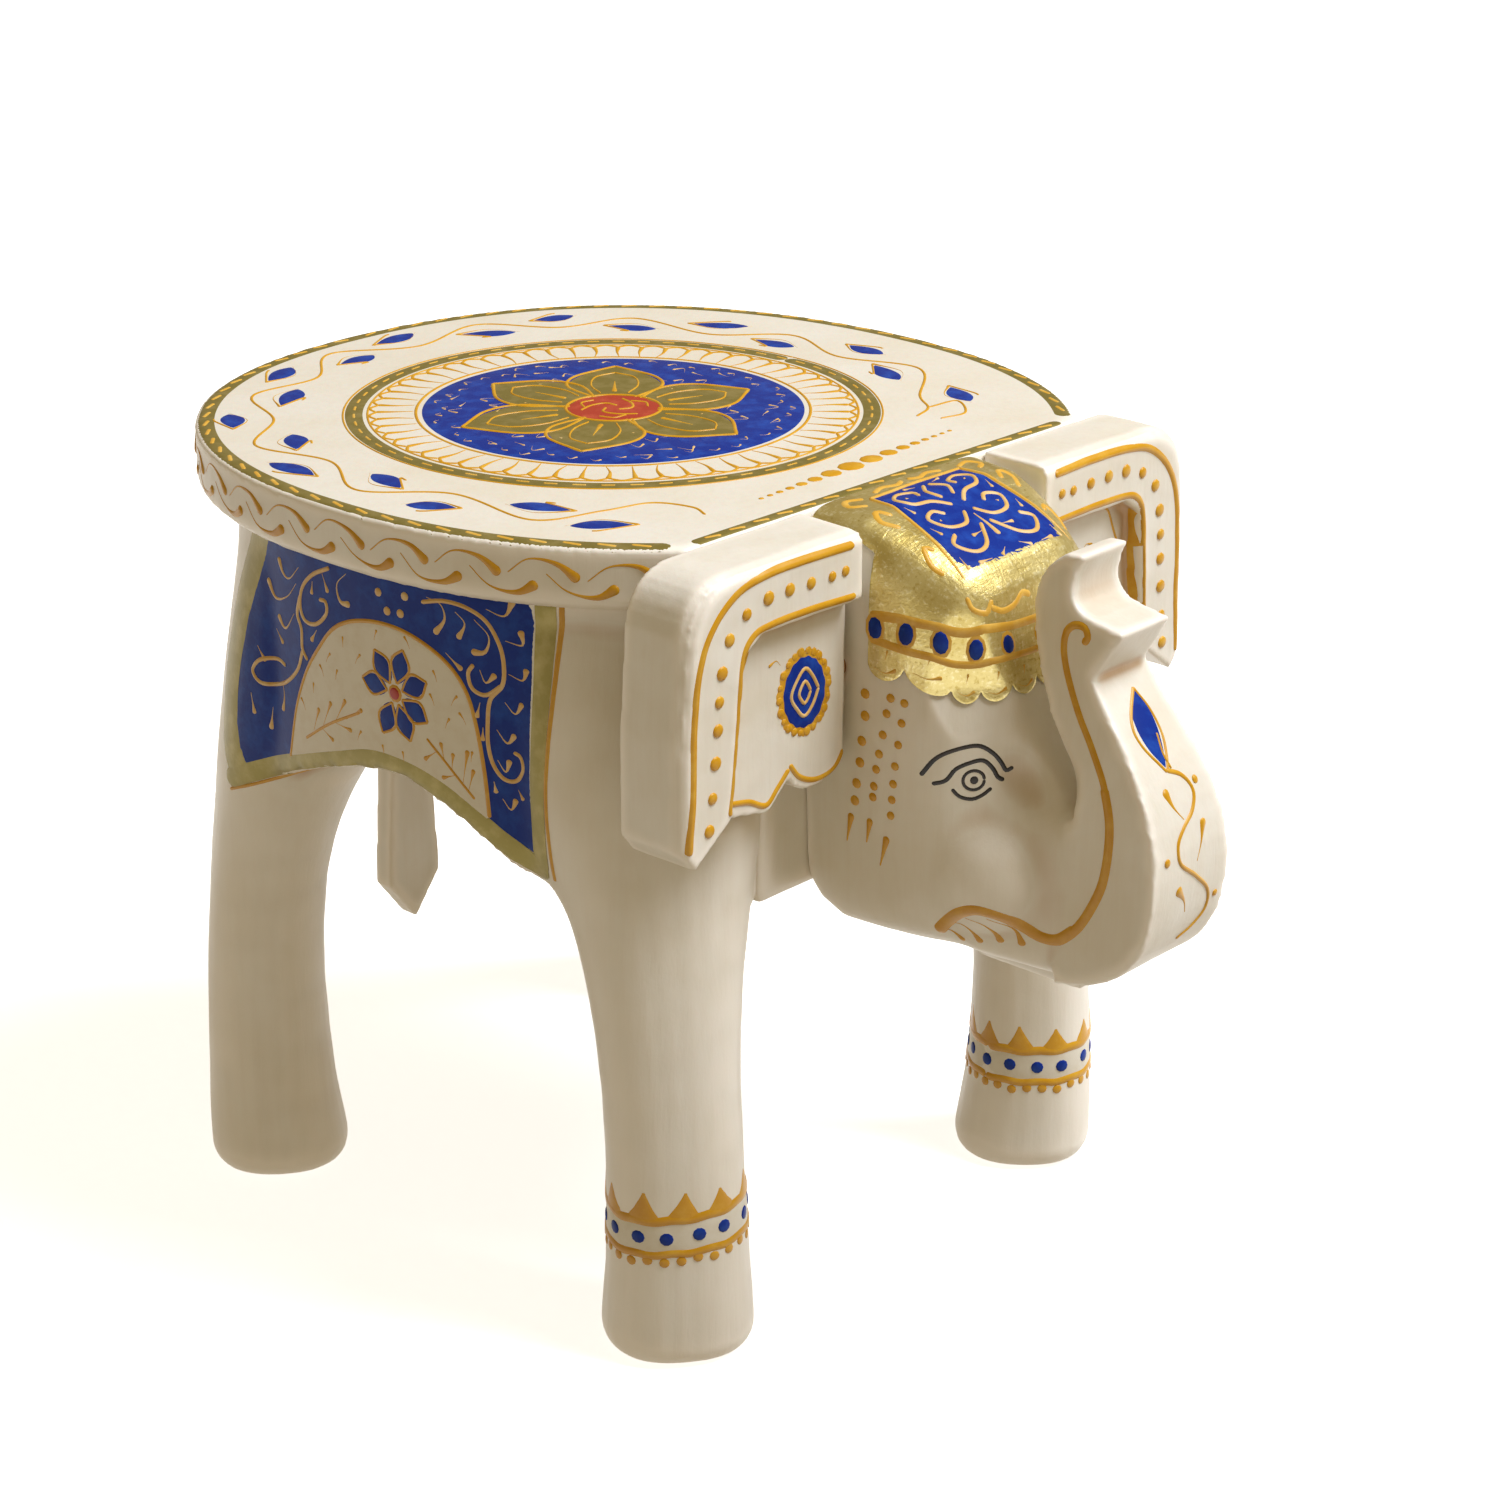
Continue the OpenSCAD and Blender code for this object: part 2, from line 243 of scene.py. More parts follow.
@dataclass(frozen=True)
class BrushPaint:
    """One colour of poster paint, laid by brush or squeezed from a cone, with a soft satin skin.

    Its pigment is thinner where the brush dragged, which shows as lighter, speckled patches.
    """

    name: str
    body: str
    thin: str
    roughness: float = 0.4
    metallic: float = 0.0
    speckle_mm: float = 2.5
    shine: float = 0.3

    def build(self) -> bpy.types.Material:
        """Return the material."""
        shader = Shader(self.name)
        cloud = shader.noise(1 / (self.speckle_mm * MM * 2), 4.0, 0.6)
        colour = shader.mix(shader.ramp(cloud, 0.45, 0.72), self.body, self.thin)
        return shader.close(colour, self.roughness, shader.noise(1400.0, 2.0), 0.2, 0.15,
                            {"Metallic": self.metallic, "Specular IOR Level": self.shine})


@dataclass(frozen=True)
class GoldLeafPaint:
    """Pale gold metallic paint, brushed thickly over carved wood.

    The brush leaves fine crossing ridges. Their tops are lightened as a painted glint, and the grooves
    between them are darkened as painted shade; the darker gold also mottles the film at random.
    """

    name: str = "brushed_pale_gold_paint"
    body: str = "#D6C685"
    # The darker gold: a random mottle, and painted shade in the grooves between the ridges.
    mottle_and_groove_shade: str = "#B8A257"
    # Painted glint: the lighter gold laid on the ridge tops.
    ridge_glint: str = "#EFE6B8"
    roughness: float = 0.36
    ridge_mm: float = 0.36

    def build(self) -> bpy.types.Material:
        """Return the material."""
        shader = Shader(self.name)
        ridges = [shader.noise(1 / (self.ridge_mm * MM * 2.2), 3.0, 0.6, squeeze)
                  for squeeze in ((1.0, 0.25, 0.6), (0.3, 1.0, 1.0))]
        both = shader.maths("ADD", *ridges)
        colour = shader.mix(shader.ramp(shader.noise(75.0, 5.0), 0.4, 0.72), self.body, self.mottle_and_groove_shade)
        # Painted glint: the ridge tops are lightened.
        colour = shader.mix(shader.ramp(both, 1.06, 1.4), colour, self.ridge_glint)
        # Painted shade: the grooves between the ridges are darkened.
        colour = shader.mix(shader.ramp(both, 0.9, 0.7), colour, self.mottle_and_groove_shade)
        return shader.close(colour, self.roughness, both, 0.3, 0.3, {"Metallic": 0.72})


@dataclass(frozen=True)
class TurnedWood:
    """Bare beech, turned to a dowel, with its grain along the rod."""

    name: str = "bare_turned_wood"
    early: str = "#C99B66"
    late: str = "#9C6C3E"
    ring_mm: float = 1.6

    def build(self) -> bpy.types.Material:
        """Return the material."""
        shader = Shader(self.name)
        rings = add(shader.tree, "TexWave", {"Vector": shader.place, "Scale": 1 / (self.ring_mm * MM * 6.3),
                                             "Distortion": 3.0, "Detail": 3.0}).outputs[0]
        return shader.close(shader.mix(rings, self.early, self.late), 0.62, rings, 0.3, 0.2)


# ---- Carving ----------------------------------------------------------------------------------


def stool(x: float, y: float, z: float) -> Vector:
    """Turn millimetres measured from the seat's middle into a place in the row's frame.

    Args:
        x: Sideways, toward the elephant's left.
        y: Backward from the seat's middle.
        z: Up from the floor.

    Returns:
        The place in metres.
    """
    return Vector((x * MM, (y + SEAT_MIDDLE) * MM, z * MM))


def lone(piece: bpy.types.Object) -> None:
    """Select one piece alone, and make it active."""
    bpy.ops.object.select_all(action="DESELECT")
    piece.select_set(True)
    bpy.context.view_layer.objects.active = piece


def shape(piece: bpy.types.Object, kind: str, **settings: object) -> None:
    """Shape a piece with one modifier, applied at once.

    Args:
        piece: The piece to shape.
        kind: The modifier's type.
        **settings: The modifier's own settings.
    """
    lone(piece)
    modifier = piece.modifiers.new(kind.title(), kind)
    for name, value in settings.items():
        setattr(modifier, name, value)
    bpy.ops.object.modifier_apply(modifier=modifier.name)


def join_shape(piece: bpy.types.Object, other: bpy.types.Object, operation: str) -> None:
    """Add another piece to a piece, or cut it out, and use the other up.

    Args:
        piece: The piece to shape.
        other: The shape that is added or cut out.
        operation: "UNION" or "DIFFERENCE".
    """
    shape(piece, "BOOLEAN", object=other, operation=operation, solver="EXACT")
    bpy.data.objects.remove(other)


def vertices(piece: bpy.types.Object) -> np.ndarray:
    """Return a piece's vertices in millimetres, measured from the seat's middle."""
    flat = np.zeros(len(piece.data.vertices) * 3)
    piece.data.vertices.foreach_get("co", flat)
    return flat.reshape(-1, 3) / MM - (0.0, SEAT_MIDDLE, 0.0)


def set_vertices(piece: bpy.types.Object, places: np.ndarray) -> None:
    """Move a piece's vertices to places in millimetres, measured from the seat's middle."""
    flat = (places + (0.0, SEAT_MIDDLE, 0.0)) * MM
    piece.data.vertices.foreach_set("co", flat.astype(np.float32).ravel())
    piece.data.update()


def fade(values: np.ndarray, start: float, end: float) -> np.ndarray:
    """Return shares that rise from 0 where a value is at the start to 1 where it is at the end."""
    return np.clip((values - start) / (end - start), 0, 1)


class Neighbours:
    """The mean of a value over each vertex's neighbours, as a wide soft brush feels it."""

    def __init__(self, piece: bpy.types.Object) -> None:
        """Read the piece's edges."""
        self.count = len(piece.data.vertices)
        edges = np.zeros(len(piece.data.edges) * 2, np.int32)
        piece.data.edges.foreach_get("vertices", edges)
        self.ends = edges.reshape(-1, 2)
        self.degree = np.maximum(np.bincount(edges, minlength=self.count), 1)

    def mean(self, values: np.ndarray, rounds: int) -> np.ndarray:
        """Average values over their neighbours.

        Args:
            values: One row of numbers for each vertex.
            rounds: How many times the averaging is repeated.

        Returns:
            The averaged rows.
        """
        a, b = self.ends[:, 0], self.ends[:, 1]
        for _ in range(rounds):
            columns = [(np.bincount(a, values[b, k], self.count) + np.bincount(b, values[a, k], self.count))
                       / self.degree for k in range(values.shape[1])]
            values = 0.5 * values + 0.5 * np.stack(columns, 1)
        return values


@dataclass
class CarvedBlock:
    """One block of wood, sawn to the part's own shape, then rounded over and smoothed by hand.

    The tool leaves shallow facets, and sanding softens every edge.
    """

    WELD_MM = 0.02
    WIDE_ROUNDS, FINE_ROUNDS = 16, 2

    name: str
    nodes: tuple[str, ...]
    grain_mm: float = 1.0
    facet_mm: float = 0.5
    facet_size_mm: float = 22.0
    soften: int = 4
    hollow_mm: float = 0.35

    def build(self, finish: bpy.types.Material) -> bpy.types.Object:
        """Carve the block.

        Args:
            finish: The material that covers it.

        Returns:
            The finished piece, riding on the root, with its nodes hidden.
        """
        piece, *others = [self.copy_node(node) for node in self.nodes]
        for other in others:
            join_shape(piece, other, "UNION")
        piece.name = piece.data.name = self.name
        self.rough_out(piece)
        shape(piece, "REMESH", mode="VOXEL", voxel_size=self.grain_mm * MM, use_smooth_shade=True)
        self.carve(piece)
        texture = bpy.data.textures.new(self.name + "_facets", "CLOUDS")
        texture.noise_scale = self.facet_size_mm * MM
        shape(piece, "DISPLACE", texture=texture, strength=self.facet_mm * MM, mid_level=0.5)
        bpy.data.textures.remove(texture)
        shape(piece, "SMOOTH", factor=0.5, iterations=self.soften)
        places = vertices(piece)
        places[:, 2] = np.maximum(places[:, 2], 0.0)
        set_vertices(piece, places)
        self.mark(piece)
        piece.data.materials.append(finish)
        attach(piece, "root")
        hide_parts(*self.nodes)
        LOG.info("%s: %d faces", self.name, len(piece.data.polygons))
        return piece

    def copy_node(self, node: str) -> bpy.types.Object:
        """Copy a node of the part, with its loose triangles merged.

        Args:
            node: The node's name.

        Returns:
            The copy, free of the part.
        """
        lone(frame["nodes"][node])
        bpy.ops.object.duplicate()
        piece = bpy.context.view_layer.objects.active
        piece.parent = None
        for key in list(piece.keys()):
            del piece[key]
        piece.data.materials.clear()
        bpy.ops.object.mode_set(mode="EDIT")
        bpy.ops.mesh.select_all(action="SELECT")
        bpy.ops.mesh.remove_doubles(threshold=self.WELD_MM * MM)
        bpy.ops.object.mode_set(mode="OBJECT")
        return piece

    def rough_out(self, piece: bpy.types.Object) -> None:
        """Take off or add large shapes before the surface is worked. A plain block has none."""

    def carve(self, piece: bpy.types.Object) -> None:
        """Cut what this block has beyond its sawn shape. A plain block has nothing more."""

    def mark(self, piece: bpy.types.Object) -> None:
        """Store where the surface is hollow or proud, for the paint to darken as painted shade and lighten as
        painted highlight.
        """
        near, places = Neighbours(piece), vertices(piece)
        flat = np.zeros(places.size)
        piece.data.vertex_normals.foreach_get("vector", flat)
        sunk = near.mean(places, self.WIDE_ROUNDS) - places
        depth = (sunk * flat.reshape(-1, 3)).sum(1) / self.hollow_mm
        marks = near.mean(np.clip(depth, -1, 1)[:, None], self.FINE_ROUNDS)[:, 0]
        attribute = piece.data.attributes.new("hollow", "FLOAT", "POINT")
        attribute.data.foreach_set("value", marks.astype(np.float32))


@dataclass(frozen=True)
class Egg:
    """An egg-shaped hollow or swelling, given for the elephant's left side.

    Its reach is its half lengths, and its lean is a turn about the sideways axis, in degrees.
    """

    middle: Place
    reach: Place
    operation: str
    lean: float = 0.0

    def work(self, piece: bpy.types.Object, side: int) -> None:
        """Cut the egg into a piece, or add it.

        Args:
            piece: The piece to work.
            side: 1 for the elephant's left, -1 for its right.
        """
        bpy.ops.object.select_all(action="DESELECT")
        bpy.ops.mesh.primitive_uv_sphere_add(segments=48, ring_count=32, radius=MM)
        egg = bpy.context.view_layer.objects.active
        x, y, z = self.middle
        egg.data.transform(Matrix.Translation(stool(side * x, y, z))
                           @ Matrix.Rotation(math.radians(self.lean), 4, "X")
                           @ Matrix.Diagonal((*self.reach, 1.0)))
        join_shape(piece, egg, self.operation)


@dataclass
class HeadBlock(CarvedBlock):
    """The head and the trunk, worked as one: hollows behind the trunk, and round cheeks under the eyes."""

    eggs: tuple[Egg, ...] = (Egg((16.5, -127.0, 122.0), (12.5, 16.5, 15.5), "UNION"),
                             Egg((23.5, -142.5, 148.0), (15.0, 12.5, 13.5), "DIFFERENCE", lean=-18.0))
    brow_edge: Place = (28.2, -119.0, 166.5)
    brow_out: Point = (0.62, -0.785)
    brow_flare: float = 0.27
    rounds_above: int = 34
    rounds_below: int = 70

    def rough_out(self, piece: bpy.types.Object) -> None:
        """Swell the cheeks and scoop the hollows behind the trunk."""
        for side in SIDES:
            for egg in self.eggs:
                egg.work(piece, side)

    def carve(self, piece: bpy.types.Object) -> None:
        """Rub the cheeks and hollows smooth, and leave the trunk and the brow crisp."""
        near, places = Neighbours(piece), vertices(piece)
        y, z = places[:, 1], places[:, 2]
        high = fade(z, 132, 142)[:, None]
        soft = near.mean(places, self.rounds_above) * high + near.mean(places, self.rounds_below) * (1 - high)
        share = fade(z, 104, 112) * fade(z, 164, 154) * fade(y, -153, -147) * fade(y, -112, -122)
        set_vertices(piece, places + (soft - places) * share[:, None])
        self.plane_brow(piece)

    def plane_brow(self, piece: bpy.types.Object) -> None:
        """Plane both front corners of the head flat, upright under the cap and flaring out below it."""
        out, edge = np.array(self.brow_out), np.array(self.brow_edge)
        places = vertices(piece)
        x, y, z = places.T
        beyond = (np.abs(x) - edge[0]) * out[0] + (y - edge[1]) * out[1]
        beyond += np.minimum(z - edge[2], 0.0) * self.brow_flare
        depth = np.maximum(beyond, 0.0) * fade(y, -133.8, -133.2) * fade(z, 148, 154)
        inward = np.stack([np.sign(x) * out[0], np.full(len(places), out[1])], 1)
        places[:, :2] -= inward * depth[:, None]
        set_vertices(piece, places)


@dataclass
class FlankBlock(CarvedBlock):
    """A flank with its two legs, whose upper ends are faired into the plank."""

    rounds: int = 90

    def carve(self, piece: bpy.types.Object) -> None:
        """Fair the legs' outer faces into the flank."""
        places = vertices(piece)
        soft = Neighbours(piece).mean(places, self.rounds)
        x, y, z = np.abs(places[:, 0]), places[:, 1], places[:, 2]
        outer = fade(x, 60, 68) * fade(z, 184, 179) * fade(z, 70, 110)
        front, rear = fade(y, -82, -74) * fade(y, -44, -50), fade(y, 34, 42) * fade(y, 84, 76)
        share = outer * (front + rear)
        set_vertices(piece, places + (soft - places) * share[:, None])


# ---- Laying paint -----------------------------------------------------------------------------


@dataclass
class Canvas:
    """A drawing sheet laid on a carved block, which carries each point of a drawing to the wood.

    Every drawing is made for the elephant's right side or its middle. A side of 1 mirrors it to the left.
    """

    REACH_M, NEAR_M = 0.08, 0.01

    block: bpy.types.Object
    aim: Aim
    side: int = -1
    surface: BVHTree = field(init=False)

    def __post_init__(self) -> None:
        """Read the block's carved surface."""
        self.surface = BVHTree.FromObject(self.block, bpy.context.evaluated_depsgraph_get())

    def touch(self, u: float, v: float, lift_mm: float) -> Vector:
        """Find where a point of the drawing lies.

        Args:
            u: The point's place across the drawing, in millimetres.
            v: The point's place up the drawing, in millimetres.
            lift_mm: How far the paint stands off the wood there.

        Returns:
            The place in the row's frame, in metres.
        """
        start, inward = self.aim(u, v)
        if self.side > 0:
            start, inward = Vector((-start.x, start.y, start.z)), Vector((-inward.x, inward.y, inward.z))
        place = self.surface.ray_cast(start, inward, self.REACH_M)[0]
        if place is None:
            place = self.surface.find_nearest(start + inward * self.NEAR_M)[0]
        return place - inward * lift_mm * MM


def flat_aim(axis: str, start_mm: float) -> Aim:
    """Make an aim that looks straight at the block.

    Args:
        axis: "down" for a drawing in x and y, "back" for one in x and z, "side" for one in y and z.
        start_mm: Where the look starts on its own axis.

    Returns:
        The aim for a canvas.
    """
    if axis == "down":
        return lambda u, v: (stool(u, v, start_mm), Vector((0.0, 0.0, -1.0)))
    if axis == "back":
        return lambda u, v: (stool(u, start_mm, v), Vector((0.0, 1.0, 0.0)))
    return lambda u, v: (stool(start_mm, u, v), Vector((1.0, 0.0, 0.0)))


def ring_aim(x: float, y: float, radius_mm: float) -> Aim:
    """Make an aim at an upright post, for a drawing in millimetres round it and up it.

    Args:
        x: The post's middle, sideways.
        y: The post's middle, backward.
        radius_mm: The post's radius.

    Returns:
        The aim for a canvas.
    """
    def aim(run: float, height: float) -> tuple[Vector, Vector]:
        out = Vector((math.cos(run / radius_mm), math.sin(run / radius_mm), 0.0))
        return stool(x, y, height) + out * (radius_mm + 20) * MM, -out
    return aim


def smooth_line(points: Line, step_mm: float) -> np.ndarray:
    """Draw a smooth line through points, as one steady hand movement does.

    Args:
        points: The points that the line passes.
        step_mm: The distance between the line's own points.

    Returns:
        The line's points.
    """
    knots = np.array(points, float)
    if len(knots) == 2:
        count = max(3, int(np.linalg.norm(knots[1] - knots[0]) / step_mm) + 1)
        return knots[0] + np.linspace(0, 1, count)[:, None] * (knots[1] - knots[0])
    padded = np.vstack([2 * knots[0] - knots[1], knots, 2 * knots[-1] - knots[-2]])
    pieces = []
    for a, b, c, d in zip(padded, padded[1:], padded[2:], padded[3:]):
        count = max(2, int(np.linalg.norm(c - b) / step_mm) + 1)
        t = np.linspace(0, 1, count, endpoint=False)[:, None]
        pieces.append(0.5 * (2 * b + (c - a) * t + (2 * a - 5 * b + 4 * c - d) * t ** 2
                             + (3 * b - a - 3 * c + d) * t ** 3))
    return np.vstack([*pieces, knots[-1:]])


def run_along(line: np.ndarray) -> np.ndarray:
    """Return the distance along a line at each of its points."""
    return np.concatenate([[0], np.cumsum(np.linalg.norm(np.diff(line, axis=0), axis=1))])


def along_line(run: np.ndarray, at: np.ndarray | float, line: np.ndarray) -> np.ndarray:
    """Return the places at distances along a line.

    Args:
        run: The distance at each of the line's points.
        at: The distances of the wanted places.
        line: The line's points.

    Returns:
        The places, with x and y last.
    """
    return np.stack([np.interp(at, run, line[:, k]) for k in (0, 1)], -1)


def polar(middle: Point, turn: float, reach: float) -> Point:
    """Find a point from its direction and distance.

    Args:
        middle: Where the distance is measured from.
        turn: The direction, in degrees.
        reach: The distance.

    Returns:
        The point.
    """
    angle = math.radians(turn)
    return (middle[0] + reach * math.cos(angle), middle[1] + reach * math.sin(angle))


def mirrored(line: Iterable[tuple[float, ...]]) -> list[tuple[float, ...]]:
    """Return a line's points on the other side of the elephant's middle."""
    return [(-x, *rest) for x, *rest in line]


class Tip(Enum):
    """How a stroke's width runs from its start to its end."""

    EVEN = "even"
    LEAF = "leaf"
    DROP = "drop"
    COMMA = "comma"
    PEAK = "peak"

    def width(self, share: float, run: float, left: float, width: float) -> float:
        """Return the stroke's width at one place.

        Args:
            share: How far along the stroke the place is, from 0 to 1.
            run: Its distance from the start, in millimetres.
            left: Its distance from the end, in millimetres.
            width: The stroke's greatest width, in millimetres.

        Returns:
            The width there, in millimetres.
        """
        if self is Tip.LEAF:
            return width * max(0.0, math.sin(math.pi * share ** 0.85)) ** 0.8
        if self is Tip.PEAK:
            return width * (0.08 + 0.92 * share ** 1.15)
        bodies = {Tip.EVEN: 1.0, Tip.DROP: 0.22 + 0.78 * share ** 1.5, Tip.COMMA: 0.12 + 0.88 * share ** 2.6}
        body = bodies[self]
        half = width / 2 * body
        near = min(run, left)
        round_end = math.sqrt(max(0.0, 1 - (1 - near / half) ** 2)) if near < half else 1.0
        return width * body * round_end


@dataclass
class Paintwork:
    """Everything laid in one colour on one block, gathered in one mesh.

    The edges of every stroke and film are sunk a little into the wood, so that no gap shows under them.
    """

    STROKE_SINK, FILM_SINK = 0.05, 0.12
    STEP_MM, SHORTEST_MM = 0.9, 0.2

    name: str
    block: bpy.types.Object
    slot: str = PAINTED_SLOT
    places: list[Vector] = field(default_factory=list)
    faces: list[tuple[int, ...]] = field(default_factory=list)

    def weave(self, rows: list[list[Vector]]) -> None:
        """Join rows of points to a skin.

        Args:
            rows: Rows of equal length.
        """
        first, width = len(self.places), len(rows[0])
        for row in rows:
            self.places.extend(row)
        for i in range(len(rows) - 1):
            for j in range(width - 1):
                a = first + i * width + j
                self.faces.append((a, a + 1, a + width + 1, a + width))

    def stroke(self, canvas: Canvas, points: Line, width: float, tip: Tip = Tip.EVEN, rise: float = 0.3,
               base: float = 0.0, across: int = 2) -> None:
        """Lay one raised stroke.

        Args:
            canvas: Where it is drawn.
            points: The points that it passes.
            width: Its greatest width, in millimetres.
            tip: How its width runs.
            rise: The height of its middle, in millimetres.
            base: The height of the paint under it, in millimetres.
            across: Half the number of strips across it.
        """
        line = smooth_line(points, self.STEP_MM)
        run = run_along(line)
        length = run[-1]
        if length < self.SHORTEST_MM:
            return
        ends = width * np.array([0.0, 0.06, 0.2, 0.4])
        ends = ends[ends < length / 2]
        middle = run[(run > width * 0.5) & (run < length - width * 0.5)]
        stations = np.unique(np.round(np.concatenate([ends, middle, length - ends]), 4))
        us, vs = along_line(run, stations, line).T
        du, dv = np.gradient(us), np.gradient(vs)
        size = np.hypot(du, dv) + 1e-9
        rows = []
        for u, v, a, b, s in zip(us, vs, -dv / size, du / size, stations):
            half = tip.width(s / length, s, length - s, width) / 2
            dome = min(1.0, half / (width / 2) * 1.2)
            row = []
            for k in range(-across, across + 1):
                share = k / across
                height = -self.STROKE_SINK if abs(share) == 1 else rise * dome * (1 - share * share) ** 0.6
                row.append(canvas.touch(u + a * half * share, v + b * half * share, base + height))
            rows.append(row)
        self.weave(rows)

    def strokes(self, canvas: Canvas, lines: Iterable[Line], width: float, tip: Tip = Tip.EVEN,
                **heights: float) -> None:
        """Lay several strokes alike.

        Args:
            canvas: Where they are drawn.
            lines: The points that each of them passes.
            width: Their greatest width, in millimetres.
            tip: How their width runs.
            **heights: Their rise, and the base under them.
        """
        for line in lines:
            self.stroke(canvas, line, width, tip, **heights)

    def dot(self, canvas: Canvas, u: float, v: float, width: float, rise: float = 0.45, base: float = 0.0,
            stretch: float = 1.0) -> None:
        """Lay one domed dot.

        Args:
            canvas: Where it is laid.
            u: Its middle across the drawing.
            v: Its middle up the drawing.
            width: Its width, in millimetres.
            rise: Its height, in millimetres.
            base: The height of the paint under it, in millimetres.
            stretch: How much wider than tall it is.
        """
        def edge(turn: float) -> Point:
            return (u + width / 2 * math.cos(turn) * stretch, v + width / 2 * math.sin(turn))
        self.patch(canvas, edge, (u, v), base, rise, 10, (0.35, 0.7, 0.9))

    def patch(self, canvas: Canvas, edge: Callable[[float], Point], middle: Point, base: float,
              rise: float = 0.0, count: int = 48, rings: Sequence[float] = (0.25, 0.5, 0.75, 0.95)) -> None:
        """Lay a patch round a middle.

        Args:
            canvas: Where it is laid.
            edge: Its outline, for each turn in radians.
            middle: Its middle.
            base: The height of the paint under it, or of its own flat film.
            rise: How much higher its middle stands.
            count: The number of points on its outline.
            rings: The shares of the way out where it has rings of points.
        """
        outline = [edge(2 * math.pi * i / count) for i in range(count)]
        core = len(self.places)
        self.places.append(canvas.touch(*middle, base + rise))
        shares = [*rings, 1.0]
        for share in shares:
            height = base - self.FILM_SINK if share == 1.0 else base + rise * (1 - share * share) ** 0.5
            self.places.extend(canvas.touch(middle[0] + (u - middle[0]) * share,
                                            middle[1] + (v - middle[1]) * share, height) for u, v in outline)
        for i in range(count):
            j = (i + 1) % count
            self.faces.append((core, core + 1 + i, core + 1 + j))
            for k in range(len(shares) - 1):
                a = core + 1 + k * count
                self.faces.append((a + i, a + count + i, a + count + j, a + j))

    def film(self, canvas: Canvas, left: Line, right: Line, base: float, rows: int, columns: int) -> None:
        """Lay a flat film between two lines.

        Args:
            canvas: Where it is laid.
            left: Points along its one side.
            right: Points along its other side, running the same way.
            base: The film's height, in millimetres.
            rows: The number of steps along the lines.
            columns: The number of steps from line to line.
        """
        a, b = [resample(line, rows) for line in (left, right)]
        shares = [0.0, 0.01, *np.linspace(0, 1, columns)[1:-1], 0.99, 1.0]
        grid = []
        for i in range(rows):
            grid.append([])
            for s in shares:
                height = base - self.FILM_SINK if i in (0, rows - 1) or s in (0.0, 1.0) else base
                grid[-1].append(canvas.touch(*(a[i] + (b[i] - a[i]) * s), height))
        self.weave(grid)

    def build(self, finish: bpy.types.Material) -> bpy.types.Object:
        """Turn the strokes into one piece.

        Args:
            finish: The paint.

        Returns:
            The finished piece, riding on the root.
        """
        mesh = bpy.data.meshes.new(self.name)
        mesh.from_pydata(self.places, [], self.faces)
        piece = bpy.data.objects.new(self.name, mesh)
        bpy.context.scene.collection.objects.link(piece)
        mesh.materials.append(finish)
        self.face_out(piece)
        mesh.polygons.foreach_set("use_smooth", [True] * len(mesh.polygons))
        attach(piece, "root")
        LOG.info("%s: %d faces", self.name, len(mesh.polygons))
        return piece

    def face_out(self, piece: bpy.types.Object) -> None:
        """Turn every face of the paint away from the wood."""
        wood = BVHTree.FromObject(self.block, bpy.context.evaluated_depsgraph_get())
        shell = bmesh.new()
        shell.from_mesh(piece.data)
        wrong = []
        for face in shell.faces:
            normal = wood.find_nearest(face.calc_center_median())[1]
            if normal is not None and face.normal.dot(normal) < 0:
                wrong.append(face)
        bmesh.ops.reverse_faces(shell, faces=wrong)
        shell.to_mesh(piece.data)
        shell.free()


def resample(points: Line, count: int) -> np.ndarray:
    """Space points evenly along a smooth line.

    Args:
        points: The points that the line passes.
        count: The number of points wanted.

    Returns:
        The evenly spaced points.
    """
    line = smooth_line(points, 0.5)
    run = run_along(line)
    return along_line(run, np.linspace(0, run[-1], count), line)


class Colour(Enum):
    """The colours of the paintwork."""

    OCHRE = "ochre_cone_paint"
    BLUE = "ultramarine_poster_paint"
    OLIVE = "olive_gold_paint"
    RED = "brick_red_paint"
    PALE = "pale_orange_cone_paint"
    CREAM = "cream_ground_paint"
    DARK = "brown_black_liner"
    GOLD = "yellow_gold_cone_paint"


Finishes = dict[Colour, bpy.types.Material]


@dataclass
class Decoration:
    """The paintwork of one block, with one piece for each colour that it uses."""

    block: bpy.types.Object
    label: str
    slot: str = PAINTED_SLOT
    works: dict[Colour, Paintwork] = field(default_factory=dict)

    def of(self, *colours: Colour) -> list[Paintwork]:
        """Return the paintwork in each of the colours, started if it is new."""
        for colour in colours:
            if colour not in self.works:
                self.works[colour] = Paintwork(f"{self.label}_{colour.name.lower()}", self.block, self.slot)
        return [self.works[colour] for colour in colours]

    def build(self, finishes: Finishes) -> None:
        """Build a piece for each colour.

        Args:
            finishes: The material of each colour.
        """
        for colour, work in self.works.items():
            work.build(finishes[colour])


def side_name(side: int) -> str:
    """Return the name of the elephant's own side."""
    return "left" if side > 0 else "right"


# ---- Painted decoration: seat -----------------------------------------------------------------


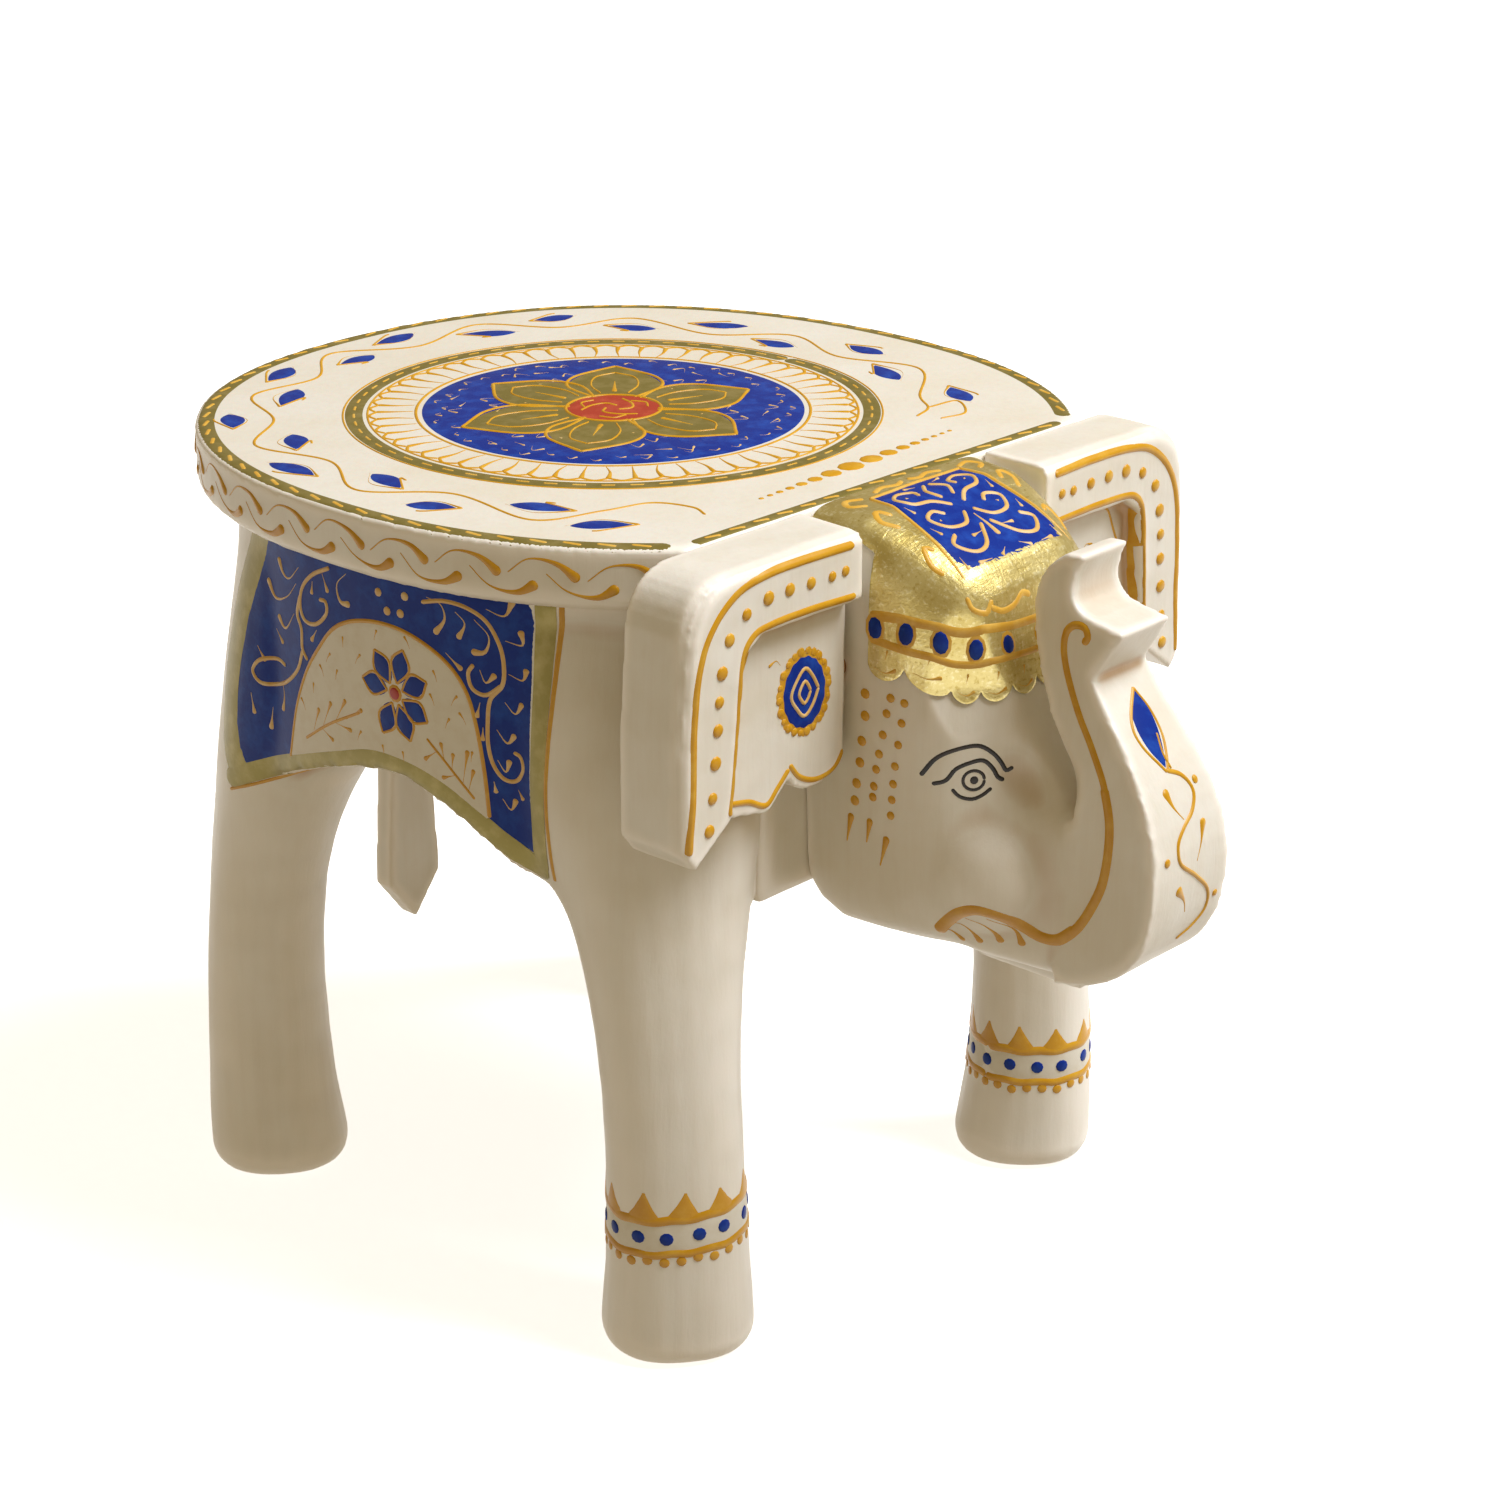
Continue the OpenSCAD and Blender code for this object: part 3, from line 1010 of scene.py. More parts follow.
class SeatRim:
    """The seat's outline, measured along its edge from the middle of the back toward the front."""

    OUTSIDE_MM, STEP_MM = 8.0, 0.8

    def __init__(self, half_wide: float = 104.0, half_long: float = 108.0, power: float = 2.2,
                 cut: float = -84.5) -> None:
        """Walk round the outline once.

        Args:
            half_wide: Half the seat's width, in millimetres.
            half_long: Half its length.
            power: Its squareness.
            cut: Where its straight front edge lies.
        """
        turns = np.radians(np.linspace(90, 270, 721))
        c, s = np.cos(turns), np.sin(turns)
        line = np.stack([half_wide * np.sign(c) * np.abs(c) ** (2 / power),
                         half_long * np.sign(s) * np.abs(s) ** (2 / power)], 1)
        self.line = line[line[:, 1] >= cut]
        self.run = run_along(self.line)
        self.length = float(self.run[-1])

    def point(self, run: float, inset: float = 0.0) -> Point:
        """Return a place on the outline of the elephant's right side.

        Args:
            run: The distance from the back's middle, in millimetres.
            inset: How far inside the outline it lies.

        Returns:
            Its x and y.
        """
        steps = (0.0, self.STEP_MM, -self.STEP_MM)
        here, ahead, behind = [along_line(self.run, run + step, self.line) for step in steps]
        along = (ahead - behind) / np.linalg.norm(ahead - behind)
        inner = here + inset * np.array([-along[1], along[0]])
        return (float(inner[0]), float(inner[1]))

    def aim(self, run: float, height: float) -> tuple[Vector, Vector]:
        """Look straight at the edge from outside."""
        start = stool(*self.point(run, -self.OUTSIDE_MM), height)
        return start, (stool(*self.point(run), height) - start).normalized()


@dataclass
class SeatPaint:
    """The mandala, the leafy vine and the borders on the seat, and the commas on its edge.

    The mandala and the vine are drawn in turns in degrees and distances round the mandala's middle.
    """

    SCALES, HOOKS, DASH = 58, 46, 6
    OLIVE_RING, DISC = 64.8, 47.9
    DISC_TOP, PETAL_TOP, HEART_TOP = 0.12, 0.22, 0.3
    ABOVE_MM = 212.0

    middle: Point = (-1.5, 6.2)
    petals: tuple[float, ...] = (158.0, 98.0, 44.0, -20.0, -84.0, -147.0)
    leaves: tuple[Point, ...] = ((-38, 89), (-21, 78), (-6, 87), (10, 76), (25, 87), (41, 80), (55, 92),
                                 (69, 82), (85, 91), (99, 83), (113, 93), (126, 83), (140, 95), (154, 82),
                                 (168, 91), (183, 80), (197, 90), (213, 83), (223, 95))
    beads: tuple[float, ...] = (1.3, 1.5, 1.8, 2.2, 2.8, 3.6, 5.0, 6.4, 5.6, 4.4, 3.4, 2.6, 2.0, 1.6, 1.3,
                                1.2)

    def build(self, seat: bpy.types.Object, finishes: Finishes) -> None:
        """Paint the seat.

        Args:
            seat: The carved seat board.
            finishes: The material of each colour.
        """
        deco, rim = Decoration(seat, "seat_paint"), SeatRim()
        top = Canvas(seat, flat_aim("down", self.ABOVE_MM))
        self.mandala(deco, top)
        self.flower(deco, top)
        self.vine(deco, top)
        self.bead_row(deco, top)
        self.borders(deco, top, rim)
        for side in SIDES:
            self.edge(deco, Canvas(seat, rim.aim, side), rim)
        deco.build(finishes)

    def at(self, *spots: Point) -> list[Point]:
        """Return the places at turns and distances round the mandala's middle."""
        return [polar(self.middle, turn, reach) for turn, reach in spots]

    def circle(self, reach: float, start: float = 0.0, end: float = 360.0) -> list[Point]:
        """Return points round the mandala's middle."""
        count = max(8, int(abs(end - start) / 6))
        return self.at(*((start + (end - start) * i / count, reach) for i in range(count + 1)))

    def disc(self, reach: float, ripple: float = 0.0) -> Callable[[float], Point]:
        """Return a round outline with nine faint ripples."""
        return lambda turn: polar(self.middle, math.degrees(turn), reach + ripple * math.sin(9 * turn))

    def mandala(self, deco: Decoration, top: Canvas) -> None:
        """Paint the rings, the scales and the blue disc."""
        ochre, olive, gold = deco.of(Colour.OCHRE, Colour.OLIVE, Colour.GOLD)
        olive.stroke(top, self.circle(self.OLIVE_RING), 5.0, rise=0.12, across=3)
        ochre.stroke(top, self.circle(61.4), 0.7, rise=0.2)
        ochre.stroke(top, self.circle(67.5), 0.6, rise=0.2)
        for turn in range(0, 360, self.DASH):
            dash = self.circle(self.OLIVE_RING, turn, turn + self.DASH / 2)
            gold.stroke(top, dash, 0.8, base=0.1, rise=0.15)
        for i in range(self.SCALES):
            turn, drift = 360 / self.SCALES * i, 0.8 * math.sin(i * 1.7)
            ochre.stroke(top, self.at((turn + drift, 50.0), (turn - drift * 0.4, 54.5), (turn, 59.4)), 1.7,
                         Tip.DROP)
            ochre.stroke(top, self.at((turn, 59.2), (turn + 3.1, 61.0), (turn + 6.2, 59.4)), 1.0, rise=0.2)
        ochre.stroke(top, self.circle(49.4), 0.9, rise=0.22)
        blue, pale = deco.of(Colour.BLUE, Colour.PALE)
        blue.patch(top, self.disc(self.DISC), self.middle, self.DISC_TOP, count=120,
                   rings=(0.3, 0.6, 0.8, 0.99))
        for i in range(self.HOOKS):
            turn, reach, lift = 360 / self.HOOKS * i, 44.0 + 1.6 * math.sin(i * 2.1), 0.9 * math.sin(i * 3.7)
            hook = self.at((turn - 1.6, reach - 1.0), (turn, reach + 0.5), (turn + 1.8, reach - 0.6 + lift))
            pale.stroke(top, hook, 0.85, Tip.COMMA, base=self.DISC_TOP, rise=0.18)
        for turn in self.petals:
            for k in range(7):
                gap = turn + 30 + (k % 3 - 1) * 8.5
                reach = 25.0 + 3.2 * k - (3.0 if k % 3 != 1 else 0.0)
                bend = 1.5 if k % 2 else -1.5
                hook = self.at((gap - 3, reach), (gap, reach + 1.8 + bend), (gap + 3, reach + 1.0))
                pale.stroke(top, hook, 0.9, Tip.COMMA, base=self.DISC_TOP, rise=0.18)

    def flower(self, deco: Decoration, top: Canvas) -> None:
        """Paint the six gold petals and the red centre."""
        olive, ochre, red = deco.of(Colour.OLIVE, Colour.OCHRE, Colour.RED)
        for turn in self.petals:
            reach = 40.0 + 1.5 * math.sin(turn)
            petal = self.at((turn, 4.0), (turn, reach))
            olive.stroke(top, petal, 24.5, Tip.LEAF, base=0.18, rise=0.06, across=5)
            for lean in SIDES:
                for spread, start, short, width in ((31.0, 11.0, 0.5, 0.95), (16.0, 14.0, 7.0, 0.6)):
                    end = reach - short
                    side = self.at((turn + lean * spread * 0.9, start),
                                   (turn + lean * spread, (start + end) * 0.46),
                                   (turn + lean * spread * 0.62, (start + end) * 0.62), (turn, end))
                    ochre.stroke(top, side, width, base=self.PETAL_TOP, rise=0.22)
            ochre.stroke(top, self.at((turn, 25.0), (turn, 15.0)), 1.8, Tip.DROP, base=self.PETAL_TOP,
                         rise=0.25)
        red.patch(top, self.disc(11.8, 0.3), self.middle, self.HEART_TOP)
        ochre.stroke(top, self.circle(12.0), 0.9, base=0.25, rise=0.25)
        for turn in (20, 140, 260):
            swirl = self.at((turn, 2.0), (turn + 50, 4.5), (turn + 95, 6.0), (turn + 130, 8.5))
            ochre.stroke(top, swirl, 0.8, base=self.HEART_TOP, rise=0.2)
            hook = self.at((turn + 60, 8.6), (turn + 85, 9.3), (turn + 110, 7.4))
            ochre.stroke(top, hook, 0.7, base=self.HEART_TOP, rise=0.2)

    def vine(self, deco: Decoration, top: Canvas) -> None:
        """Paint the waving stem, and the blue leaves that lie outside and inside it in turn."""
        ochre, blue = deco.of(Colour.OCHRE, Colour.BLUE)
        stem = self.at((-52.0, 76.0), (-46.0, 79.0))
        for i, (turn, reach) in enumerate(self.leaves):
            way = -1 if i % 2 else 1
            stem += self.at((turn, reach - 10.5 if way > 0 else reach + 9.5))
            along = turn + 90 + 9.0 * way + 7.0 * math.sin(i * 2.4)
            long, bow = 6.8 + 0.9 * math.sin(i * 1.9), 3.6 * way
            heart = polar(self.middle, turn, reach)
            tail, tip = polar(heart, along + 180, long), polar(heart, along, long)
            blue.stroke(top, [tail, polar(heart, along + 90, 0.5), tip], 6.8, Tip.LEAF, rise=0.14, across=3)
            ochre.stroke(top, [polar(tail, along + 180, 1.2), polar(heart, along + 90, bow * 1.12),
                               polar(tip, along, 1.4)], 0.9, Tip.COMMA, rise=0.24)
            ochre.stroke(top, [polar(tip, along, 1.6), polar(heart, along - 90, bow * 1.05),
                               polar(heart, along - 120, bow * 1.3)], 0.7, rise=0.2)
        stem += self.at((231.0, 79.0), (237.0, 84.0), (238.0, 90.0))
        ochre.stroke(top, stem, 0.85, rise=0.24)
        ochre.stroke(top, [stem[1], *self.at((-42.0, 87.0), (-49.0, 88.0), (-53.0, 82.0))], 0.8, rise=0.24)

    def bead_row(self, deco: Decoration, top: Canvas) -> None:
        """Paint the row of dots before the front edge, which swells and thins along its run."""
        (ochre,) = deco.of(Colour.OCHRE)
        x, gap = -33.0, 0.9
        for size in self.beads:
            x += size / 2 + gap
            ochre.dot(top, x, -71.2 + 3.0 * (x + 32) / 63, size, stretch=1.2, rise=0.2 + 0.03 * size)
            x += size / 2 + gap

    def borders(self, deco: Decoration, top: Canvas, rim: SeatRim) -> None:
        """Paint the dashed olive border round the seat."""
        olive, gold = deco.of(Colour.OLIVE, Colour.GOLD)
        right = [rim.point(run, 2.7) for run in np.arange(0.0, rim.length - 2.0, 4.0)]
        olive.stroke(top, [*reversed(mirrored(right)), *right[1:]], 4.8, rise=0.12, across=3)
        olive.stroke(top, [(-66.0, -82.3), (66.0, -82.3)], 3.8, rise=0.12, across=3)
        for run in np.arange(3.0, rim.length - 6.0, 8.0):
            dash = [rim.point(run, 3.3), rim.point(run + 4.6, 2.1)]
            gold.strokes(top, (dash, mirrored(dash)), 1.2, base=0.1, rise=0.16)
        for x in np.arange(-62.0, 60.0, 8.0):
            gold.stroke(top, [(x, -81.8), (x + 4.4, -82.8)], 1.1, base=0.1, rise=0.16)

    def edge(self, deco: Decoration, canvas: Canvas, rim: SeatRim) -> None:
        """Paint the two rows of linked commas on one side of the seat's edge."""
        (ochre,) = deco.of(Colour.OCHRE)
        room = rim.length - 6.0
        count = round(room / 19.0)
        for i in range(count):
            u, sway = 2.0 + room / count * i, 0.5 * math.sin(i * 2.3)
            upper = [(u, 195.8 + sway), (u + 5.0, 199.4 + sway), (u + 11.5, 199.0), (u + 16.6, 195.4)]
            lower = [(u + 9.0, 196.6), (u + 14.0, 192.4 + sway), (u + 20.5, 191.6), (u + 25.4, 194.2)]
            pair = (upper, lower) if u + 26.0 < rim.length else (upper,)
            ochre.strokes(canvas, pair, 3.1, Tip.COMMA, rise=0.5)


# ---- Painted decoration: flanks and legs ------------------------------------------------------


@dataclass
class FlankPaint:
    """The painted saddle cloth on one flank: a blue field round a cream arch, with a flower and scrolls."""

    PEAKS, BLUE_DOTS, SMALL_DOTS = 11, 15, 27
    ANKLE = (-67.5, -78.0, 17.0)
    GROUND, CREAM = 0.1, 0.2
    BESIDE_MM = -125.0

    side: int
    heart: Point = (-12.5, 157.0)
    arch: Line = ((29.5, 129), (25.5, 143), (20.5, 153.5), (14.5, 161.5), (9, 167.5), (3, 171), (-4.5, 173),
                  (-12, 173.5), (-18.5, 172.5), (-25, 170), (-30, 166.5), (-33.5, 161.5), (-35.5, 155.5),
                  (-37, 147.5), (-38, 139.5), (-38.5, 131.5))
    arch_foot: Line = ((29.5, 127.5), (16, 132.5), (7.5, 135.5), (-4.5, 139), (-16, 139), (-26, 136),
                       (-34, 131), (-38.5, 128.5))
    crown: Line = tuple((u, 187.6) for u in (42, 30, 15, 0, -15, -30, -50))
    hem: Line = ((54.5, 119), (46, 121), (27, 129), (7.5, 136), (-4.5, 139.5), (-16, 139.3), (-26, 136.5),
                 (-35, 131.5), (-41, 128), (-50, 124.5))
    belly: Line = ((57, 115), (46, 120), (27, 128), (7.5, 135), (-4.5, 138.5), (-16, 138.3), (-26, 135.5),
                   (-35, 130.5), (-41, 126.5), (-47.5, 122.5), (-53, 119))
    rear: Line = ((38.5, 188), (43, 177), (49.5, 161), (54, 142), (54, 126), (50.5, 117))
    front: Line = ((-52.6, 188), (-52.6, 165), (-52.2, 142), (-51.5, 120))
    piping: Line = ((-56, 187.5), (-55.6, 164), (-55, 142), (-55.5, 119))
    petals: Line = ((-6, 166.5), (-15.5, 168.5), (-22.5, 162), (-22.5, 152), (-17, 146), (-8, 146),
                    (-1.5, 158.5))
    scrolls: tuple[Line, ...] = (
        ((9, 183), (16, 179.5), (20.5, 175), (21.5, 170), (19.5, 167), (15, 167.5), (11, 171), (11, 174),
         (13.5, 174)),
        ((21.5, 173), (23, 168), (21.5, 164.5), (21.5, 159.5), (19.5, 157)),
        ((21.5, 159), (24.5, 153), (31.5, 147.5), (39.5, 145.5), (43, 148), (40, 151.5), (34, 153),
         (30, 152.5)),
        ((-21.5, 181.5), (-28, 183), (-34, 182.5), (-39, 180), (-42, 175), (-43, 170), (-42.5, 165),
         (-39.5, 161), (-38.8, 155), (-38.8, 149.5), (-40, 145), (-42.5, 142), (-45.5, 142), (-47.5, 145),
         (-47, 148), (-45, 149)),
        ((-42.5, 165), (-38.5, 162), (-35, 163), (-34, 166.5), (-35.5, 169)),
    )
    commas: tuple[Line, ...] = (
        ((21.5, 180), (26, 176), (29, 176.5), (31, 180)), ((23, 175.5), (27.5, 171), (33.5, 169), (37, 173)),
        ((24.5, 167.5), (29, 162.5), (32.5, 165)), ((32, 148), (31.5, 144), (32.5, 140)),
        ((44, 142), (43, 136.5)), ((36.5, 140), (38, 133.5)),
        ((3, 183), (6.5, 179.5), (5.5, 175.5), (2, 175.5)), ((12, 181), (10, 176.5)),
        ((16, 178), (16.5, 174.5)), ((34, 161), (30.5, 158)),
        ((15, 166), (17.5, 162.5)), ((41, 155), (38, 151.5)), ((-43.5, 176), (-47.5, 175.5), (-47, 179)),
        ((-44, 168), (-47.5, 167), (-48.5, 170)), ((-43, 161), (-45.5, 158.5), (-47.5, 161.5)),
        ((-41, 154), (-43.5, 151), (-45.5, 153.5)), ((-41, 146.5), (-43, 143.8), (-44, 147)),
        ((-42, 137), (-44, 134.5), (-45.5, 137.5)), ((-40, 141), (-40.5, 138)), ((-46, 140), (-47.5, 137.5)),
        ((-23, 183), (-27, 182), (-28, 178.5), (-25, 174.5)), ((-31, 181), (-33.5, 178.5), (-31.5, 174.5)),
        ((-36, 180), (-39.5, 176.5), (-38.5, 172.5), (-35, 172)), ((-28, 170.5), (-32.5, 167)),
        ((-37, 160), (-36, 156)), ((-37.6, 154), (-37.4, 150.5)), ((-39, 183), (-43.5, 182), (-45.5, 186)),
        ((-37, 168), (-38.5, 165), (-41, 167.5)),
    )
    cloth_dots: Line = ((-8, 181), (-16.5, 181.8), (-10.8, 177), (-15, 177.3))
    sprigs: tuple[tuple[Line, tuple[Line, ...]], ...] = (
        (((21.5, 136.5), (11.5, 143), (0, 149)),
         (((18, 139.5), (15.5, 146)), ((14, 142), (10.5, 149)), ((9, 144.5), (5, 151)), ((5, 146), (-1, 150)),
          ((14.5, 141), (10, 139)), ((9, 144), (3, 143.5)))),
        (((-35, 135.5), (-28, 142.5), (-22, 148)),
         (((-25, 145.5), (-21, 142.5)), ((-27, 143.5), (-26, 148)), ((-29, 141.5), (-29.5, 146)),
          ((-32, 139), (-33.5, 147.5)), ((-33.5, 137.5), (-35, 143)), ((-30, 140.5), (-26, 139)))),
    )
    ticks: Line = ((5, 165.5), (-6.5, 170), (-17, 170.5), (0, 162.5), (13.5, 156), (8, 156.5), (17.5, 150.5),
                   (-25, 164), (-30, 159), (-32.5, 155), (0.5, 143), (-8, 141.5), (-14.5, 141.5), (-28, 153),
                   (22, 145), (11, 160), (-24, 158), (-34.5, 146))

    def build(self, flank: bpy.types.Object, finishes: Finishes) -> None:
        """Paint the flank.

        Args:
            flank: The carved flank.
            finishes: The material of each colour.
        """
        deco = Decoration(flank, f"flank_{side_name(self.side)}_paint")
        canvas = Canvas(flank, flat_aim("side", self.BESIDE_MM), self.side)
        self.cloth(deco, canvas)
        self.flower(deco, canvas)
        self.marks(deco, canvas)
        self.anklet(deco, Canvas(flank, ring_aim(*self.ANKLE), self.side))
        deco.build(finishes)

    def cloth(self, deco: Decoration, canvas: Canvas) -> None:
        """Paint the blue field, the cream arch and the borders."""
        blue, olive, ochre, cream = deco.of(Colour.BLUE, Colour.OLIVE, Colour.OCHRE, Colour.CREAM)
        blue.film(canvas, self.crown, self.hem, self.GROUND, rows=60, columns=36)
        cream.film(canvas, self.arch, self.arch_foot, self.CREAM, rows=56, columns=20)
        ochre.stroke(canvas, self.arch, 1.1, base=0.18, rise=0.2)
        olive.stroke(canvas, self.belly, 5.2, base=0.18, rise=0.12, across=3)
        olive.stroke(canvas, self.rear, 9.0, base=0.12, rise=0.12, across=3)
        olive.stroke(canvas, self.front, 4.6, base=0.14, rise=0.12, across=3)
        ochre.stroke(canvas, self.piping, 1.3, rise=0.35)
        ochre.stroke(canvas, [(30, 123.5), (45, 117), (56, 112.5)], 1.0, rise=0.25)

    def flower(self, deco: Decoration, canvas: Canvas) -> None:
        """Paint the seven-petalled blue flower."""
        blue, ochre, red = deco.of(Colour.BLUE, Colour.OCHRE, Colour.RED)
        u, v = self.heart
        for tip in self.petals:
            du, dv = tip[0] - u, tip[1] - v
            start, size = (u + du * 0.22, v + dv * 0.22), math.hypot(du, dv) / 2.9
            blue.stroke(canvas, [start, tip], 5.6, Tip.LEAF, base=0.22, rise=0.1, across=3)
            for lean in SIDES:
                bulge = (u + du * 0.65 - dv / size * lean, v + dv * 0.65 + du / size * lean)
                ochre.stroke(canvas, [start, bulge, tip], 0.75, base=0.24, rise=0.18)
        ochre.dot(canvas, u, v, 4.6, base=0.24, rise=0.2)
        red.dot(canvas, u, v, 3.2, base=0.42, rise=0.25)

    def marks(self, deco: Decoration, canvas: Canvas) -> None:
        """Paint the pale scrolls and commas on the blue, and the sprigs and ticks on the cream."""
        pale, ochre = deco.of(Colour.PALE, Colour.OCHRE)
        pale.strokes(canvas, self.scrolls, 1.15, base=self.GROUND)
        pale.strokes(canvas, self.commas, 2.15, Tip.COMMA, base=self.GROUND)
        for u, v in self.cloth_dots:
            pale.dot(canvas, u, v, 2.3, base=self.GROUND, rise=0.3)
        for stem, leaves in self.sprigs:
            ochre.stroke(canvas, stem, 0.85, base=self.CREAM, rise=0.18)
            ochre.strokes(canvas, leaves, 1.8, Tip.COMMA, base=self.CREAM, rise=0.22)
        for i, (u, v) in enumerate(self.ticks):
            lean = 1.2 * math.sin(i * 2.6)
            ochre.stroke(canvas, [(u + lean * 0.6, v - 1.3), (u, v + 0.2), (u - lean, v + 1.5)], 1.2,
                         Tip.COMMA, base=self.CREAM, rise=0.2)

    def anklet(self, deco: Decoration, ring: Canvas) -> None:
        """Paint the band round the front ankle, which the right leg wears higher and askew.

        Args:
            deco: The flank's decoration.
            ring: The ankle's canvas, in millimetres round it and up it.
        """
        round_mm = 2 * self.ANKLE[2] * math.pi
        middle, askew = (30.5, 0.0) if self.side > 0 else (36.5, 1.4)

        def at(u: float, up: float) -> Point:
            return (u, middle + up + askew * math.cos(2 * math.pi * u / round_mm + 0.6))

        ochre, blue, cream = deco.of(Colour.OCHRE, Colour.BLUE, Colour.CREAM)
        whole = np.linspace(0, round_mm, 57)
        cream.stroke(ring, [at(u, 0.0) for u in whole], 8.0, rise=0.1, across=3)
        for up, width in ((4.4, 2.4), (-4.4, 2.1)):
            ochre.stroke(ring, [at(u, up + 0.2 * math.sin(u * 0.7)) for u in whole], width, base=0.05)
        for i in range(self.PEAKS):
            u = round_mm * i / self.PEAKS
            top = at(u + 0.5 * math.sin(i * 2.1), 11.0 + 0.7 * math.sin(i * 1.3))
            ochre.stroke(ring, [top, at(u, 4.0)], 10.2, Tip.PEAK, rise=0.32, across=3)
        for i in range(self.BLUE_DOTS):
            u = round_mm * i / self.BLUE_DOTS + 0.4 * math.sin(i * 2.7)
            blue.dot(ring, *at(u, 0.3 * math.sin(i * 1.9)), 3.5, 0.35, base=0.08)
        for i in range(self.SMALL_DOTS):
            ochre.dot(ring, *at(round_mm * i / self.SMALL_DOTS, -6.3 + 0.4 * math.sin(i * 2.2)), 2.6, 0.35)


# ---- Painted decoration: ears -----------------------------------------------------------------


@dataclass
class EarPaint:
    """The borders, the dots and the peacock eye on the front of one ear."""

    FRILL_DOTS, BEFORE_MM = 22, -118.0

    side: int
    heart: Point = (-47.5, 167.0)
    outer: Line = ((-36.5, 200.4), (-52, 200.8), (-66, 200.4), (-75.5, 198.2), (-83, 192), (-87, 183.5),
                   (-88.6, 170), (-89, 157), (-90.3, 141.5))
    inner: Line = ((-36, 188.3), (-52, 188.8), (-64, 188.6), (-70, 187.2), (-73.2, 182), (-74.5, 168),
                   (-76, 154), (-77.2, 147))
    dots: Line = ((-39.5, 195), (-44, 194.8), (-51, 195), (-58, 195.2), (-65, 195), (-72, 193),
                  (-77.5, 188.5), (-80, 181.5), (-80.8, 175), (-81.2, 168.5), (-82, 161), (-83, 153),
                  (-84, 145.5))
    hem: tuple[tuple[Line, float], ...] = (
        (((-74, 147.2), (-66, 145.6), (-60, 143), (-56, 146), (-52.2, 149.6)), 1.6),
        (((-52, 150.5), (-48.5, 146.5), (-43, 144.4), (-37, 145.2), (-33.5, 149)), 1.5),
    )

    def build(self, ear: bpy.types.Object, finishes: Finishes) -> None:
        """Paint the ear.

        Args:
            ear: The carved ear.
            finishes: The material of each colour.
        """
        deco = Decoration(ear, f"ear_{side_name(self.side)}_paint")
        canvas = Canvas(ear, flat_aim("back", self.BEFORE_MM), self.side)
        (ochre,) = deco.of(Colour.OCHRE)
        ochre.stroke(canvas, self.outer, 2.1, rise=0.42)
        ochre.stroke(canvas, self.inner, 1.9, rise=0.4)
        for i, (u, v) in enumerate(self.dots):
            ochre.dot(canvas, u, v, 2.6 if i < 2 else 3.3 + 0.3 * math.sin(i * 2.1), 0.6)
        for line, width in self.hem:
            ochre.stroke(canvas, line, width, rise=0.35)
        ochre.stroke(canvas, [(-73, 173), (-70, 174.5), (-67.5, 179), (-65, 184), (-61, 185.5)], 0.8,
                     rise=0.25)
        self.peacock_eye(deco, canvas)
        deco.build(finishes)

    def oval(self, wide: float, tall: float, ripple: float = 0.0) -> Callable[[float], Point]:
        """Return an egg-shaped outline round the heart of the motif.

        Args:
            wide: Half its width.
            tall: Half its height.
            ripple: The depth of its small scallops.

        Returns:
            The outline, for each turn in radians.
        """
        def edge(turn: float) -> Point:
            swell = 1 + ripple * math.sin(turn * 15) + 0.05 * math.cos(2 * turn + 0.6)
            return (self.heart[0] + wide * math.cos(turn) * swell,
                    self.heart[1] + tall * math.sin(turn) * swell)
        return edge

    def peacock_eye(self, deco: Decoration, canvas: Canvas) -> None:
        """Paint the blue eye with its frill and its two pale loops."""
        ochre, blue, pale = deco.of(Colour.OCHRE, Colour.BLUE, Colour.PALE)
        ochre.patch(canvas, self.oval(8.6, 10.8, 0.05), self.heart, 0.12, count=96)
        blue.patch(canvas, self.oval(6.7, 8.9, 0.02), self.heart, 0.26, count=64)
        for i in range(self.FRILL_DOTS):
            u, v = self.oval(8.0, 10.2)(2 * math.pi * i / self.FRILL_DOTS)
            ochre.dot(canvas, u, v, 2.1 + 0.4 * math.sin(i * 2.3), 0.35)
        for wide, tall, width in ((4.4, 6.0, 1.0), (1.9, 2.8, 0.95)):
            pulls = (0.84 if i % 2 else 1.0 for i in range(9))
            loop = [self.oval(wide * pull, tall * pull)(math.pi * i / 4) for i, pull in enumerate(pulls)]
            pale.stroke(canvas, loop, width, base=0.26, rise=0.28)
        ochre.stroke(canvas, [(-55.5, 175.5), (-57, 177), (-59.5, 176.2)], 1.3, Tip.COMMA)


# ---- Painted decoration: cap, head and trunk --------------------------------------------------


